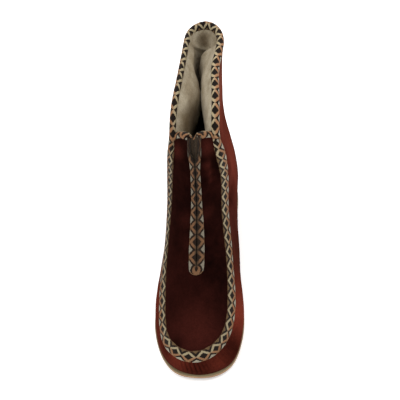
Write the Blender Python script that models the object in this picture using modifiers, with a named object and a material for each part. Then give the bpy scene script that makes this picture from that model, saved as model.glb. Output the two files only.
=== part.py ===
"""Ankle boot for the right foot: a fleece-lined slipper boot, in metres, +Z up.

The toe points along -Y and the inner (medial) side of the foot is +X.
The origin is on the floor, under the middle of the boot's box.
Tables below are in millimetres.
"""
import math

import bmesh
import bpy
import numpy as np

MM = 0.001

# Driving sizes, in millimetres
BOOT_LENGTH = 260.0
SOLE_THICKNESS = 4.5
HEEL_LIFT = 7.0
TOE_SPRING = 5.0
TOE_SPRING_POWER = 1.7
LEDGE = 1.0
WALL = 5.0
SEAM_WALL_SHARE = 0.5
SEAM_PULL = 9.0
INSOLE_THICKNESS = 4.0
SEAT_GAP = 0.3
SIDE_GAP = 2.2
HEEL_INSET = 0.4
HEEL_TAPER = 1.4

# Where the sole leaves the floor, along the boot
TOE_BREAK_Y = -80.5
BALL_END_Y = -20.5
HEEL_BREAST_Y = 63.5

# Sole outline at one place along the boot: inner (medial) and outer (lateral) edge
OUTLINE_COLUMNS = ("y", "inner", "outer")
OUTLINE = (
    (-129.6, 3.0, 3.0),
    (-125.5, 21.6, -16.0),
    (-114.5, 33.0, -26.8),
    (-96.5, 39.3, -35.6),
    (-72.5, 42.1, -41.4),
    (-43.5, 39.7, -41.4),
    (-10.5, 33.5, -37.4),
    (23.5, 29.7, -32.8),
    (56.5, 28.6, -31.8),
    (87.5, 28.2, -30.5),
    (109.5, 23.0, -24.0),
    (122.0, 12.5, -12.5),
    (126.0, 0.0, 0.0),
)

# Upper: one row for each rib of the side wall, from the back seam to the toe.
# foot is where the rib leaves the sole, top is where it meets the rim or the vamp seam.
# belly and waist swell the rib outwards: the belly at BELLY_SHARE of its lowest BELLY_REACH,
# the waist at WAIST_SHARE of its height.
# back bows the waist towards the heel, so that the ribs fan out under the vamp seam.
RIB_COLUMNS = ("foot_y", "top_y", "top_z", "top_inner", "top_outer",
               "belly_inner", "belly_outer", "waist_inner", "waist_outer", "back")
RIBS = (
    (126.0, 125.5, 205.0, 1.0, 1.0, 4.5, 4.5, -4.5, -4.5, 0.0),
    (118.5, 115.0, 204.6, 15.0, -14.0, 4.0, 4.5, -5.5, -4.0, 0.0),
    (104.5, 94.5, 204.0, 18.4, -17.3, 2.4, 4.0, -3.5, -2.0, 0.0),
    (87.5, 67.5, 202.5, 16.2, -18.4, 1.6, 4.0, -2.9, -0.5, 1.0),
    (71.5, 41.5, 200.8, 17.5, -19.8, 1.6, 4.0, -2.3, 1.0, 3.0),
    (55.5, 17.5, 194.5, 19.2, -21.8, 2.4, 4.0, -2.6, 1.5, 7.0),
    (39.5, 1.5, 176.0, 20.0, -23.0, 3.0, 3.5, -1.2, 2.0, 11.0),
    (20.5, 2.0, 135.0, 23.2, -26.6, 3.4, 2.5, 0.6, 3.0, 12.0),
    (0.5, -3.0, 98.0, 23.0, -28.5, 3.8, 1.6, 3.8, 3.0, 10.0),
    (-24.5, -22.5, 66.0, 26.4, -30.9, 1.3, 0.3, 4.0, 2.8, 6.0),
    (-56.5, -53.5, 41.0, 30.0, -32.6, 0.8, 0.0, 4.5, 3.5, 1.0),
    (-88.5, -84.0, 27.5, 29.5, -30.5, 0.8, 0.0, 4.5, 3.6, 0.0),
    (-114.5, -107.5, 25.5, 20.6, -23.6, 0.2, 0.0, 2.6, 2.6, 0.0),
    (-129.6, -121.5, 27.0, -1.0, -1.0, 0.2, 0.2, 1.8, 1.8, 0.0),
)
THROAT_RIB = 6
VAMP_CORNER_RIB = 11
BELLY_REACH = 75.0
BELLY_SHARE = 0.33
WAIST_SHARE = 0.5

# Crown of the vamp above the chord between its two seams, from the throat to the toe
CROWN_COLUMNS = ("along", "crown")
CROWN = (
    (0.0, 8.0),
    (0.25, 10.5),
    (0.5, 10.5),
    (0.75, 7.0),
    (0.9, 3.5),
    (1.0, 0.0),
)
THROAT_RISE = 4.0
THROAT_RISE_REACH = 0.3

# Slit down the middle of the vamp
SLIT_X = -0.6
SLIT_GAP = 1.2
SLIT_END_Z = 69.8
SLIT_MOUTH = 9.0
SLIT_MOUTH_DEPTH = 24.0
SLIT_FRONT_Y = -88.5
SLIT_BACK_Y = 21.5

# Mesh density
RING_STEPS = 3
RIB_STEPS = 10
SOLE_ROWS = 44
SOLE_COLUMNS = 6
OUTLINE_POINTS = 400
CLOSE_ROW = 1.0
WELD = 0.001

# Knots carried past each end of a closed ring, so that its spline joins up smoothly
RING_WRAP = 4

FINISHES = {
    "outsole": ((0.42, 0.30, 0.20), 0.75),
    "heel": ((0.20, 0.12, 0.08), 0.7),
    "insole": ((0.62, 0.55, 0.43), 0.95),
    "upper": ((0.13, 0.025, 0.02), 0.85),
}


def table(rows, columns):
    """The rows of a table as one array for each named column."""
    values = np.array(rows)
    return {name: values[:, i] for i, name in enumerate(columns)}


def spline(knots, values, at):
    """Natural cubic spline through values at knots, read at other places."""
    knots = np.asarray(knots, dtype=float)
    values = np.asarray(values, dtype=float).reshape(len(knots), -1)
    step = np.diff(knots)
    slope = np.diff(values, axis=0) / step[:, None]
    count = len(knots)
    matrix = np.eye(count)
    right = np.zeros_like(values)
    for i in range(1, count - 1):
        matrix[i, i - 1:i + 2] = (step[i - 1], 2 * (step[i - 1] + step[i]), step[i])
        right[i] = 6 * (slope[i] - slope[i - 1])
    bend = np.linalg.solve(matrix, right)
    at = np.atleast_1d(at)
    i = np.clip(np.searchsorted(knots, at, side="right") - 1, 0, count - 2)
    near = (at - knots[i])[:, None]
    far = (knots[i + 1] - at)[:, None]
    h = step[i][:, None]
    curve = (bend[i] * far ** 3 + bend[i + 1] * near ** 3) / (6 * h)
    line = (values[i] / h - bend[i] * h / 6) * far + (values[i + 1] / h - bend[i + 1] * h / 6) * near
    return curve + line


def ring(knots, values, at, length):
    """The same spline on a closed ring: its ends run on into each other."""
    knots = np.asarray(knots, dtype=float)
    values = np.asarray(values, dtype=float)
    long_knots = np.concatenate([knots[-RING_WRAP:] - length, knots, knots[:RING_WRAP] + length])
    long_values = np.concatenate([values[-RING_WRAP:], values, values[:RING_WRAP]])
    return spline(long_knots, long_values, at)


def chord_knots(points, closed=False):
    """Distance along a row of points, and the whole length when it is closed."""
    ends = np.vstack([points, points[:1]]) if closed else points
    run = np.concatenate([[0.0], np.cumsum(np.linalg.norm(np.diff(ends, axis=0), axis=1))])
    return (run[:-1], run[-1]) if closed else (run, run[-1])


def smooth_step(x):
    x = np.clip(x, 0.0, 1.0)
    return x * x * (3 - 2 * x)


def sole_under(y):
    """Height of the outsole's underside: heel seat, arch, ball and toe spring."""
    arch = HEEL_LIFT * smooth_step((y - BALL_END_Y) / (HEEL_BREAST_Y - BALL_END_Y))
    past_break = np.clip((TOE_BREAK_Y - y) / (TOE_BREAK_Y + BOOT_LENGTH / 2), 0.0, None)
    return arch + TOE_SPRING * past_break ** TOE_SPRING_POWER


def sole_top(y):
    return sole_under(y) + SOLE_THICKNESS


def dense_outline(inset=0.0):
    """The sole's closed outline, from the heel's tip round the inner side, pulled in by inset."""
    rows = table(OUTLINE, OUTLINE_COLUMNS)
    inner = np.column_stack([rows["inner"], rows["y"]])[::-1]
    outer = np.column_stack([rows["outer"], rows["y"]])[1:-1]
    points = np.vstack([inner, outer])
    knots, length = chord_knots(points, closed=True)
    at = np.linspace(0.0, length, OUTLINE_POINTS, endpoint=False)
    line = ring(knots, points, at, length)
    ahead = np.roll(line, -1, axis=0) - np.roll(line, 1, axis=0)
    ahead /= np.linalg.norm(ahead, axis=1)[:, None]
    outward = np.column_stack([-ahead[:, 1], ahead[:, 0]])
    return line - inset * outward, outward


def edge_at(line, outward, y, side):
    """Point and outward direction where one side of an outline passes y."""
    toe = int(np.argmin(line[:, 1]))
    heel = int(np.argmax(line[:, 1]))
    if y <= line[toe, 1]:
        return line[toe], outward[toe]
    if y >= line[heel, 1]:
        return line[heel], outward[heel]
    count = len(line)
    inner = [(heel + i) % count for i in range((toe - heel) % count + 1)]
    outer = [(toe + i) % count for i in range((heel - toe) % count + 1)]
    picks = inner[::-1] if side > 0 else outer
    ys = line[picks, 1]
    order = np.maximum.accumulate(ys)
    point = np.array([np.interp(y, order, line[picks, 0]), y])
    facing = np.array([np.interp(y, order, outward[picks, i]) for i in range(2)])
    return point, facing / np.linalg.norm(facing)


def rib_net():
    """Foot, belly, waist and top of each rib, round the boot from the back seam by the inner side."""
    rows = table(RIBS, RIB_COLUMNS)
    line, outward = dense_outline(LEDGE)
    last = len(RIBS) - 1
    order = [(i, 1) for i in range(last + 1)] + [(i, -1) for i in range(last - 1, 0, -1)]
    net = []
    for i, side in order:
        name = "inner" if side > 0 else "outer"
        foot_y = rows["foot_y"][i]
        foot_xy, facing = edge_at(line, outward, foot_y, side)
        foot = np.array([foot_xy[0], foot_xy[1], sole_top(foot_xy[1]) + SEAT_GAP])
        top = np.array([rows["top_" + name][i], rows["top_y"][i], rows["top_z"][i]])
        rise = top[2] - foot[2]
        face = np.array([facing[0], facing[1], 0.0])
        belly = foot + face * rows["belly_" + name][i]
        belly[2] += BELLY_SHARE * min(rise, BELLY_REACH)
        waist = foot + (top - foot) * WAIST_SHARE + face * rows["waist_" + name][i]
        waist[1] += rows["back"][i]
        net.append((foot, belly, waist, top))
    return np.array(net)


def ring_places(net):
    """Where each rib stands on the ring: the mean of its run along the foot and the top."""
    foot_run, foot_length = chord_knots(net[:, 0], closed=True)
    top_run, top_length = chord_knots(net[:, -1], closed=True)
    return (foot_run + top_run) / 2, (foot_length + top_length) / 2


def wall_grid():
    """Points of the side wall's outer face: columns round the ring, rows from foot to top."""
    net = rib_net()
    places, length = ring_places(net)
    ends = np.append(places, length)
    at = np.concatenate([np.linspace(ends[i], ends[i + 1], RING_STEPS, endpoint=False)
                         for i in range(len(net))])
    levels = [ring(places, net[:, k], at, length) for k in range(net.shape[1])]
    grid = []
    for column in range(len(at)):
        points = np.array([level[column] for level in levels])
        knots, run = chord_knots(points)
        grid.append(spline(knots, points, np.linspace(0.0, run, RIB_STEPS + 1)))
    return np.array(grid)


def vamp_grid(wall):
    """Points of the vamp between its seams: rows from the throat to the toe."""
    seam = wall[:, -1]
    toe = (len(RIBS) - 1) * RING_STEPS
    throat = THROAT_RIB * RING_STEPS
    corner = VAMP_CORNER_RIB * RING_STEPS
    inner_side = seam[throat:corner + 1]
    outer_side = seam[2 * toe - corner:2 * toe - throat + 1][::-1]
    toe_edge = seam[corner:2 * toe - corner + 1][::-1]
    rows = len(inner_side)
    columns = len(toe_edge)
    u = np.linspace(0.0, 1.0, columns)[None, :, None]
    v = np.linspace(0.0, 1.0, rows)[:, None, None]
    arch = 4 * u * (1 - u)
    throat_edge = outer_side[0] * (1 - u) + inner_side[0] * u
    across = outer_side[:, None] * (1 - u) + inner_side[:, None] * u
    along = throat_edge * (1 - v) + toe_edge[None] * v
    corners = throat_edge * (1 - v) + (outer_side[-1] * (1 - u) + inner_side[-1] * u) * v
    grid = across + along - corners
    ahead = np.gradient(grid[:, columns // 2], axis=0)
    facing = np.column_stack([np.zeros(rows), ahead[:, 2], -ahead[:, 1]])
    facing /= np.linalg.norm(facing, axis=1)[:, None]
    swell = table(CROWN, CROWN_COLUMNS)
    crown = spline(swell["along"], swell["crown"], v.ravel())
    grid += (facing * crown)[:, None] * arch
    rise = THROAT_RISE * np.clip(1 - v / THROAT_RISE_REACH, 0.0, 1.0) ** 2
    grid[:, :, 2:] += rise * arch
    return grid


def add_grid(bm, grid, closed=False, flip=False):
    """Quads between neighbouring points of a grid, given in millimetres."""
    columns = [[bm.verts.new(point * MM) for point in column] for column in grid]
    if closed:
        columns.append(columns[0])
    for left, right in zip(columns, columns[1:]):
        for i in range(len(left) - 1):
            corners = (left[i], right[i], right[i + 1], left[i + 1])
            bm.faces.new(corners[::-1] if flip else corners)


def make_object(name, bm, collection):
    """An object from a bmesh, with its own material, in a collection."""
    mesh = bpy.data.meshes.new(name)
    bmesh.ops.remove_doubles(bm, verts=bm.verts, dist=WELD * MM)
    bm.to_mesh(mesh)
    bm.free()
    thing = bpy.data.objects.new(name, mesh)
    collection.objects.link(thing)
    if name in FINISHES:
        colour, roughness = FINISHES[name]
        material = bpy.data.materials.new(name)
        material.use_nodes = True
        shader = material.node_tree.nodes["Principled BSDF"]
        shader.inputs["Base Color"].default_value = (*colour, 1.0)
        shader.inputs["Roughness"].default_value = roughness
        shader.inputs["Metallic"].default_value = 0.0
        mesh.materials.append(material)
    return thing


def thicken(thing, thickness):
    """Give an open surface its thickness, away from its facing side."""
    shell = thing.modifiers.new("thickness", "SOLIDIFY")
    shell.thickness = thickness * MM
    shell.offset = -1.0


def sole_rows(inset, start=None):
    """Rows across the sole's outline, close together at the toe and the heel."""
    line, outward = dense_outline(inset)
    low, high = line[:, 1].min(), line[:, 1].max()
    angles = np.linspace(0.0, math.pi, SOLE_ROWS + 1)
    places = low + (high - low) * (1 - np.cos(angles)) / 2
    if start is not None:
        places = np.concatenate([[start], places[places > start + CLOSE_ROW]])
    rows = []
    for y in places:
        outer = edge_at(line, outward, y, -1)[0]
        inner = edge_at(line, outward, y, 1)[0]
        rows.append(outer + (inner - outer) * np.linspace(0.0, 1.0, SOLE_COLUMNS + 1)[:, None])
    return np.array(rows)


def make_outsole(collection):
    rows = sole_rows(0.0)
    bm = bmesh.new()
    add_grid(bm, np.dstack([rows, sole_top(rows[:, :, 1])]), flip=True)
    outsole = make_object("outsole", bm, collection)
    thicken(outsole, SOLE_THICKNESS)


def make_insole(collection):
    rows = sole_rows(LEDGE + WALL + SIDE_GAP)
    bm = bmesh.new()
    height = sole_top(rows[:, :, 1]) + SEAT_GAP + INSOLE_THICKNESS
    add_grid(bm, np.dstack([rows, height]), flip=True)
    insole = make_object("insole", bm, collection)
    thicken(insole, INSOLE_THICKNESS)


def make_heel(collection):
    """Low heel lift: flat underneath, and drawn in a little towards the floor."""
    bm = bmesh.new()
    top = sole_rows(HEEL_INSET, HEEL_BREAST_Y)
    floor = sole_rows(HEEL_INSET + HEEL_TAPER, HEEL_BREAST_Y + HEEL_TAPER)
    top_line = np.vstack([top[:, 0], top[::-1, -1]])
    floor_line = np.vstack([floor[:, 0], floor[::-1, -1]])
    upper_ring = [bm.verts.new((x * MM, y * MM, (HEEL_LIFT - SEAT_GAP) * MM)) for x, y in top_line]
    lower_ring = [bm.verts.new((x * MM, y * MM, 0.0)) for x, y in floor_line]
    bm.faces.new(upper_ring)
    bm.faces.new(lower_ring[::-1])
    count = len(upper_ring)
    for i in range(count):
        j = (i + 1) % count
        bm.faces.new((upper_ring[j], upper_ring[i], lower_ring[i], lower_ring[j]))
    bmesh.ops.recalc_face_normals(bm, faces=bm.faces)
    make_object("heel", bm, collection)


def make_slit_cutter(collection):
    """A blade for the slit: narrow below, opening into a V at the throat."""
    slim = SLIT_GAP / 2
    mouth = SLIT_MOUTH / 2
    throat_z = RIBS[THROAT_RIB][RIB_COLUMNS.index("top_z")] + THROAT_RISE
    right_edge = ((slim, SLIT_END_Z), (slim, throat_z - SLIT_MOUTH_DEPTH), (mouth, throat_z),
                  (mouth, throat_z + SLIT_MOUTH_DEPTH))
    outline = [(SLIT_X + x, z) for x, z in right_edge]
    outline += [(SLIT_X - x, z) for x, z in right_edge[::-1]]
    bm = bmesh.new()
    front = bm.faces.new([bm.verts.new((x * MM, SLIT_FRONT_Y * MM, z * MM)) for x, z in outline])
    grown = bmesh.ops.extrude_face_region(bm, geom=[front])
    moved = [item for item in grown["geom"] if isinstance(item, bmesh.types.BMVert)]
    bmesh.ops.translate(bm, verts=moved, vec=(0.0, (SLIT_BACK_Y - SLIT_FRONT_Y) * MM, 0.0))
    bmesh.ops.recalc_face_normals(bm, faces=bm.faces)
    cutter = make_object("slit_cutter", bm, collection)
    cutter.hide_render = True
    cutter.display_type = "WIRE"
    return cutter


def thin_seams(upper, wall):
    """The vamp seam and the sole seam are pulled tight, so the wall is thinner along them."""
    throat = THROAT_RIB * RING_STEPS
    vamp_seam = wall[throat:len(wall) - throat + 1, -1]
    seams = np.vstack([vamp_seam, wall[:, 0]])
    share = upper.vertex_groups.new(name="wall_share")
    for vert in upper.data.vertices:
        gap = np.linalg.norm(seams - np.array(vert.co) / MM, axis=1).min()
        full = smooth_step(gap / SEAM_PULL)
        share.add([vert.index], SEAM_WALL_SHARE + (1 - SEAM_WALL_SHARE) * full, "REPLACE")
    upper.modifiers["thickness"].vertex_group = share.name


def make_upper(collection, cutters):
    """Hollow shell: side wall and vamp in one, open at the collar, the slit and underneath."""
    wall = wall_grid()
    bm = bmesh.new()
    add_grid(bm, wall, closed=True, flip=True)
    add_grid(bm, vamp_grid(wall))
    upper = make_object("upper", bm, collection)
    thicken(upper, WALL)
    thin_seams(upper, wall)
    slit = upper.modifiers.new("slit", "BOOLEAN")
    slit.operation = "DIFFERENCE"
    slit.solver = "EXACT"
    slit.object = make_slit_cutter(cutters)
    upper.data.shade_smooth()


def main():
    for thing in list(bpy.data.objects):
        bpy.data.objects.remove(thing, do_unlink=True)
    boot = bpy.data.collections.new("ankle_boot")
    cutters = bpy.data.collections.new("cutters")
    for collection in (boot, cutters):
        bpy.context.scene.collection.children.link(collection)
    make_outsole(boot)
    make_heel(boot)
    make_insole(boot)
    make_upper(boot, cutters)


main()
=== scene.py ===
"""Looks of the ankle boot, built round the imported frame.

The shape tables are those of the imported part, in millimetres: the toe points along -Y,
the inner (medial) side is +X, and the origin is on the floor under the middle of the boot.
"""
import math

import bmesh
import bpy
import numpy as np
from mathutils import Matrix, Vector, noise
from mathutils.bvhtree import BVHTree
from mathutils.geometry import delaunay_2d_cdt


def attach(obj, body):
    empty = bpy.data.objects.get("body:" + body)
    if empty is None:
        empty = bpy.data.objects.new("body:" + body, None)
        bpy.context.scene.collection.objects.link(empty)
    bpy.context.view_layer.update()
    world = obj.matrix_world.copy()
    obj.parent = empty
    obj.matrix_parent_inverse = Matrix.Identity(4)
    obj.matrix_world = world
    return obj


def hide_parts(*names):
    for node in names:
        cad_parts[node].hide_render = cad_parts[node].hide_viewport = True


MM = 0.001

# Driving sizes of the part
BOOT_LENGTH = 260.0
SOLE_THICKNESS = 4.5
HEEL_LIFT = 7.0
TOE_SPRING = 5.0
TOE_SPRING_POWER = 1.7
LEDGE = 1.0
WALL = 5.0
INSOLE_THICKNESS = 4.0
SEAT_GAP = 0.3
SIDE_GAP = 2.2
HEEL_INSET = 0.4
TOE_BREAK_Y = -80.5
BALL_END_Y = -20.5
HEEL_BREAST_Y = 63.5

# Sole outline at one place along the boot: inner (medial) and outer (lateral) edge
OUTLINE_COLUMNS = ("y", "inner", "outer")
OUTLINE = (
    (-129.6, 3, 3),
    (-125.5, 21.6, -16),
    (-114.5, 33, -26.8),
    (-96.5, 39.3, -35.6),
    (-72.5, 42.1, -41.4),
    (-43.5, 39.7, -41.4),
    (-10.5, 33.5, -37.4),
    (23.5, 29.7, -32.8),
    (56.5, 28.6, -31.8),
    (87.5, 28.2, -30.5),
    (109.5, 23, -24),
    (122, 12.5, -12.5),
    (126, 0, 0),
)

# Upper: one row for each rib of the side wall, from the back seam to the toe
RIB_COLUMNS = ("foot_y", "top_y", "top_z", "top_inner", "top_outer",
               "belly_inner", "belly_outer", "waist_inner", "waist_outer", "back")
RIBS = (
    (126, 125.5, 205, 1, 1, 4.5, 4.5, -4.5, -4.5, 0),
    (118.5, 115, 204.6, 15, -14, 4, 4.5, -5.5, -4, 0),
    (104.5, 94.5, 204, 18.4, -17.3, 2.4, 4, -3.5, -2, 0),
    (87.5, 67.5, 202.5, 16.2, -18.4, 1.6, 4, -2.9, -0.5, 1),
    (71.5, 41.5, 200.8, 17.5, -19.8, 1.6, 4, -2.3, 1, 3),
    (55.5, 17.5, 194.5, 19.2, -21.8, 2.4, 4, -2.6, 1.5, 7),
    (39.5, 1.5, 176, 20, -23, 3, 3.5, -1.2, 2, 11),
    (20.5, 2, 135, 23.2, -26.6, 3.4, 2.5, 0.6, 3, 12),
    (0.5, -3, 98, 23, -28.5, 3.8, 1.6, 3.8, 3, 10),
    (-24.5, -22.5, 66, 26.4, -30.9, 1.3, 0.3, 4, 2.8, 6),
    (-56.5, -53.5, 41, 30, -32.6, 0.8, 0, 4.5, 3.5, 1),
    (-88.5, -84, 27.5, 29.5, -30.5, 0.8, 0, 4.5, 3.6, 0),
    (-114.5, -107.5, 25.5, 20.6, -23.6, 0.2, 0, 2.6, 2.6, 0),
    (-129.6, -121.5, 27, -1, -1, 0.2, 0.2, 1.8, 1.8, 0),
)
THROAT_RIB = 6
VAMP_CORNER_RIB = 11
BELLY_REACH = 75.0
BELLY_SHARE = 0.33
WAIST_SHARE = 0.5

# Crown of the vamp above the chord between its two seams, from the throat to the toe
CROWN_COLUMNS = ("along", "crown")
CROWN = ((0, 8), (0.25, 10.5), (0.5, 10.5), (0.75, 7), (0.9, 3.5), (1, 0))
THROAT_RISE = 4.0
THROAT_RISE_REACH = 0.3

# Mesh density of the looks
RING_STEPS = 14
TOP_STEPS = (0, 0.7, 1.4, 2.2, 3, 4, 5.2, 6.6)
LOWER_STEPS = 58
NEAR_SHARE = 0.7
OUTLINE_POINTS = 400
RING_WRAP = 4
WELD = 0.001

# Rolled rim of the collar, under its ribbon
ROLL_DROP = 3.5
ROLL_HEIGHT = 4.2
ROLL_BLEND_RIBS = 0.45
ROLL_TUCK = 0.35
ROLL_UNDER = 0.67
ROLL_END = 2.5
ROLL_FADE = 3.0
HEM = 2.5

# How the ribbon lies at each rib, on the inner and the outer side: half the roll's thickness and how
# far it slides outward on the collar, and how far it turns towards the front on the vamp, in degrees
LIE_COLUMNS = ("rib", "half_inner", "half_outer", "slide_inner", "slide_outer", "turn_inner", "turn_outer")
LIE = (
    (0, 2.4, 2.4, -2, -2, 0, 0),
    (1, 2.8, 2.1, 0, 0.2, 0, 0),
    (2, 2.8, 2, 0.8, 0.8, 0, 0),
    (3, 3.2, 2.1, 0, 0.6, 0, 0),
    (4, 2.7, 2.1, -0.3, 0.4, 0, 0),
    (5.6, 2.9, 2.3, -0.3, -0.4, 22, 9),
    (6.2, 3.2, 2.4, -0.6, -3.2, 28, 10),
    (6.8, 2.8, 2.4, -0.3, -3.8, 12.5, 12.5),
    (7.8, 2.8, 2.4, -0.8, -3, 11.5, 12),
    (8.5, 2.8, 2.4, -1.2, -2, 10.5, 8),
    (9, 2.8, 2.4, -1, -0.9, 9, 4),
    (9.6, 2.8, 2.4, 0.2, 0.2, 0, 5),
    (10.4, 2.8, 2.4, 0, 0.2, -3, 8.5),
    (11.1, 2.8, 2.4, 0.6, 0.3, -14, -2),
    (11.7, 2.8, 2.4, 0.9, 0.6, -20, -14),
    (12.3, 2.8, 2.4, 0.4, 0.3, -23, -20),
    (13, 2.8, 2.4, 0, 0, -24, -24),
)
LIE_REACH = 16.0
LIE_LOOSE = 8.0
LIE_BLUR = 3.0
STRIP_BLUR = 2.4

# Woven ribbon: half its width, repeats of its pattern on the loop, cells along one and across,
# and the rise of its edges, its middle, its skirt and its raised threads
RIBBON_HALF = 5.7
CONTROL_REACH = 0.97
REPEATS = 57
PATTERN_SHIFT = -3.2
CELLS_LONG = 27
CELLS_WIDE = 21
RIBBON_EDGE_RISE = 0.55
RIBBON_CROWN = 0.35
RIBBON_SKIRT = -0.6
SKIRT_WIDE = RIBBON_HALF + 0.1
FLOAT_RISE = 0.14


def table(rows, columns):
    """The rows of a table as one array for each named column."""
    return dict(zip(columns, np.array(rows, dtype=float).T))


def records(rows, columns):
    """The rows of a table, each with its values by name."""
    return [dict(zip(columns, row)) for row in rows]


def spline(knots, values, at):
    """Natural cubic spline through values at knots, read at other places."""
    values = np.asarray(values, dtype=float)
    shape = values.shape[1:]
    values = values.reshape(len(knots), -1)
    step = np.diff(knots)
    slope = np.diff(values, axis=0) / step[:, None]
    matrix = np.eye(len(knots))
    right = np.zeros_like(values)
    for i in range(1, len(knots) - 1):
        matrix[i, i - 1:i + 2] = (step[i - 1], 2 * (step[i - 1] + step[i]), step[i])
        right[i] = 6 * (slope[i] - slope[i - 1])
    bend = np.linalg.solve(matrix, right)
    i = np.clip(np.searchsorted(knots, at, side="right") - 1, 0, len(knots) - 2)
    near, far, h = ((at - knots[i])[:, None], (knots[i + 1] - at)[:, None], step[i][:, None])
    curve = (bend[i] * far ** 3 + bend[i + 1] * near ** 3) / (6 * h)
    line = (values[i] / h - bend[i] * h / 6) * far + (values[i + 1] / h - bend[i + 1] * h / 6) * near
    return (curve + line).reshape((len(at),) + shape)


def ring(knots, values, at, length):
    """The same spline on a closed ring: its ends run on into each other."""
    before, after = slice(-RING_WRAP, None), slice(None, RING_WRAP)
    knots = np.concatenate([knots[before] - length, knots, knots[after] + length])
    return spline(knots, np.concatenate([values[before], values, values[after]]), at)


def even_ring(values, places):
    """A closed ring's rows read at places counted in rows."""
    return ring(np.arange(len(values)), values, places, len(values))


def chord_knots(points, closed=False):
    """Distance along a row of points, and the whole length."""
    ends = np.vstack([points, points[:1]]) if closed else points
    run = np.concatenate([[0.0], np.cumsum(np.linalg.norm(np.diff(ends, axis=0), axis=1))])
    return (run[:-1], run[-1]) if closed else (run, run[-1])


def smooth_step(x):
    x = np.clip(x, 0.0, 1.0)
    return x * x * (3 - 2 * x)


def ramp(x, start, span):
    """0 up to start, then a soft rise to 1 over span."""
    return smooth_step((x - start) / span)


def bell(x, middle, width):
    return np.exp(-((x - middle) / width) ** 2)


def read(at, knots, values):
    """Columns of values over knots, read at other places in straight lines."""
    return np.column_stack([np.interp(at, knots, column) for column in values.T])


def unit(vectors):
    """Vectors brought to length 1, where they have a length."""
    length = np.linalg.norm(vectors, axis=-1, keepdims=True)
    return vectors / np.where(length > 0, length, 1.0)


def turned_towards(first, second, share):
    """Directions a share of the way from a first set to a second."""
    return unit(first * (1 - share[..., None]) + second * share[..., None])


def by_side(rows, name, places, inner_side, at="rib"):
    """A table's column for the inner or the outer side, read at places along another column."""
    inner, outer = (np.interp(places, rows[at], rows[name + side]) for side in ("_inner", "_outer"))
    return np.where(inner_side, inner, outer)


def sole_under(y):
    """Height of the outsole's underside: heel seat, arch, ball and toe spring."""
    arch = HEEL_LIFT * ramp(y, BALL_END_Y, HEEL_BREAST_Y - BALL_END_Y)
    past_break = np.clip((TOE_BREAK_Y - y) / (TOE_BREAK_Y + BOOT_LENGTH / 2), 0.0, None)
    return arch + TOE_SPRING * past_break ** TOE_SPRING_POWER


def sole_top(y):
    return sole_under(y) + SOLE_THICKNESS


def outward_of(line):
    """Outward directions along a closed flat line that runs round by the inner side."""
    ahead = unit(slopes(line, 0, closed=True))
    return np.column_stack([-ahead[:, 1], ahead[:, 0]])


def dense_outline(inset=0.0):
    """The sole's closed outline, from the heel's tip round the inner side, pulled in by inset."""
    rows = table(OUTLINE, OUTLINE_COLUMNS)
    sides = [np.column_stack([rows[side], rows["y"]]) for side in ("inner", "outer")]
    points = np.vstack([sides[0][::-1], sides[1][1:-1]])
    knots, length = chord_knots(points, closed=True)
    line = ring(knots, points, np.linspace(0.0, length, OUTLINE_POINTS, endpoint=False), length)
    return line - inset * outward_of(line), outward_of(line)


def edge_at(line, outward, y, side):
    """Point and outward direction where one side of an outline passes y."""
    toe, heel = int(np.argmin(line[:, 1])), int(np.argmax(line[:, 1]))
    for end, beyond in ((toe, y <= line[toe, 1]), (heel, y >= line[heel, 1])):
        if beyond:
            return line[end], outward[end]
    first, last = (heel, toe) if side > 0 else (toe, heel)
    picks = ((first + np.arange((last - first) % len(line) + 1)) % len(line))[::-side]
    order = np.maximum.accumulate(line[picks, 1])
    point = np.array([np.interp(y, order, line[picks, 0]), y])
    return point, unit(np.array([np.interp(y, order, outward[picks, i]) for i in range(2)]))


def rib_net():
    """Foot, belly, waist and top of each rib, round the boot from the back seam by the inner side."""
    rows = table(RIBS, RIB_COLUMNS)
    line, outward = dense_outline(LEDGE)
    last = len(RIBS) - 1
    net = []
    for i in [*range(last + 1), *range(-last + 1, 0)]:
        name, side, i = ("_inner", 1, i) if i >= 0 else ("_outer", -1, -i)
        edge, facing = edge_at(line, outward, rows["foot_y"][i], side)
        foot = np.array([*edge, sole_top(edge[1]) + SEAT_GAP])
        top = np.array([rows["top" + name][i], rows["top_y"][i], rows["top_z"][i]])
        face = np.array([*facing, 0.0])
        belly = foot + face * rows["belly" + name][i]
        belly[2] += BELLY_SHARE * min(top[2] - foot[2], BELLY_REACH)
        waist = foot + (top - foot) * WAIST_SHARE + face * rows["waist" + name][i]
        waist[1] += rows["back"][i]
        net.append((foot, belly, waist, top))
    return np.array(net)


def wall_columns():
    """The side wall's outer face as columns: four points each, from the top edge down."""
    net = rib_net()
    runs = [chord_knots(net[:, k], closed=True) for k in (0, -1)]
    places, length = ((foot + top) / 2 for foot, top in zip(*runs))
    ends = np.append(places, length)
    at = np.concatenate([np.linspace(*pair, RING_STEPS, endpoint=False) for pair in zip(ends, ends[1:])])
    return ring(places, net[:, ::-1], at, length)


def wall_surface(columns, top_steps, lower_steps):
    """Points [column, row] down each column, and how far down each one is from the top edge."""
    grid, down = [], []
    for points in columns:
        knots, run = chord_knots(points)
        near = np.array(top_steps) * min(1.0, NEAR_SHARE * run / top_steps[-1])
        rest = np.linspace(0.0, 1.0, lower_steps + 1)[1:]
        steps = np.concatenate([near, near[-1] + (run - near[-1]) * rest])
        grid.append(spline(knots, points, steps))
        down.append(steps)
    return np.array(grid), np.array(down)


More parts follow.
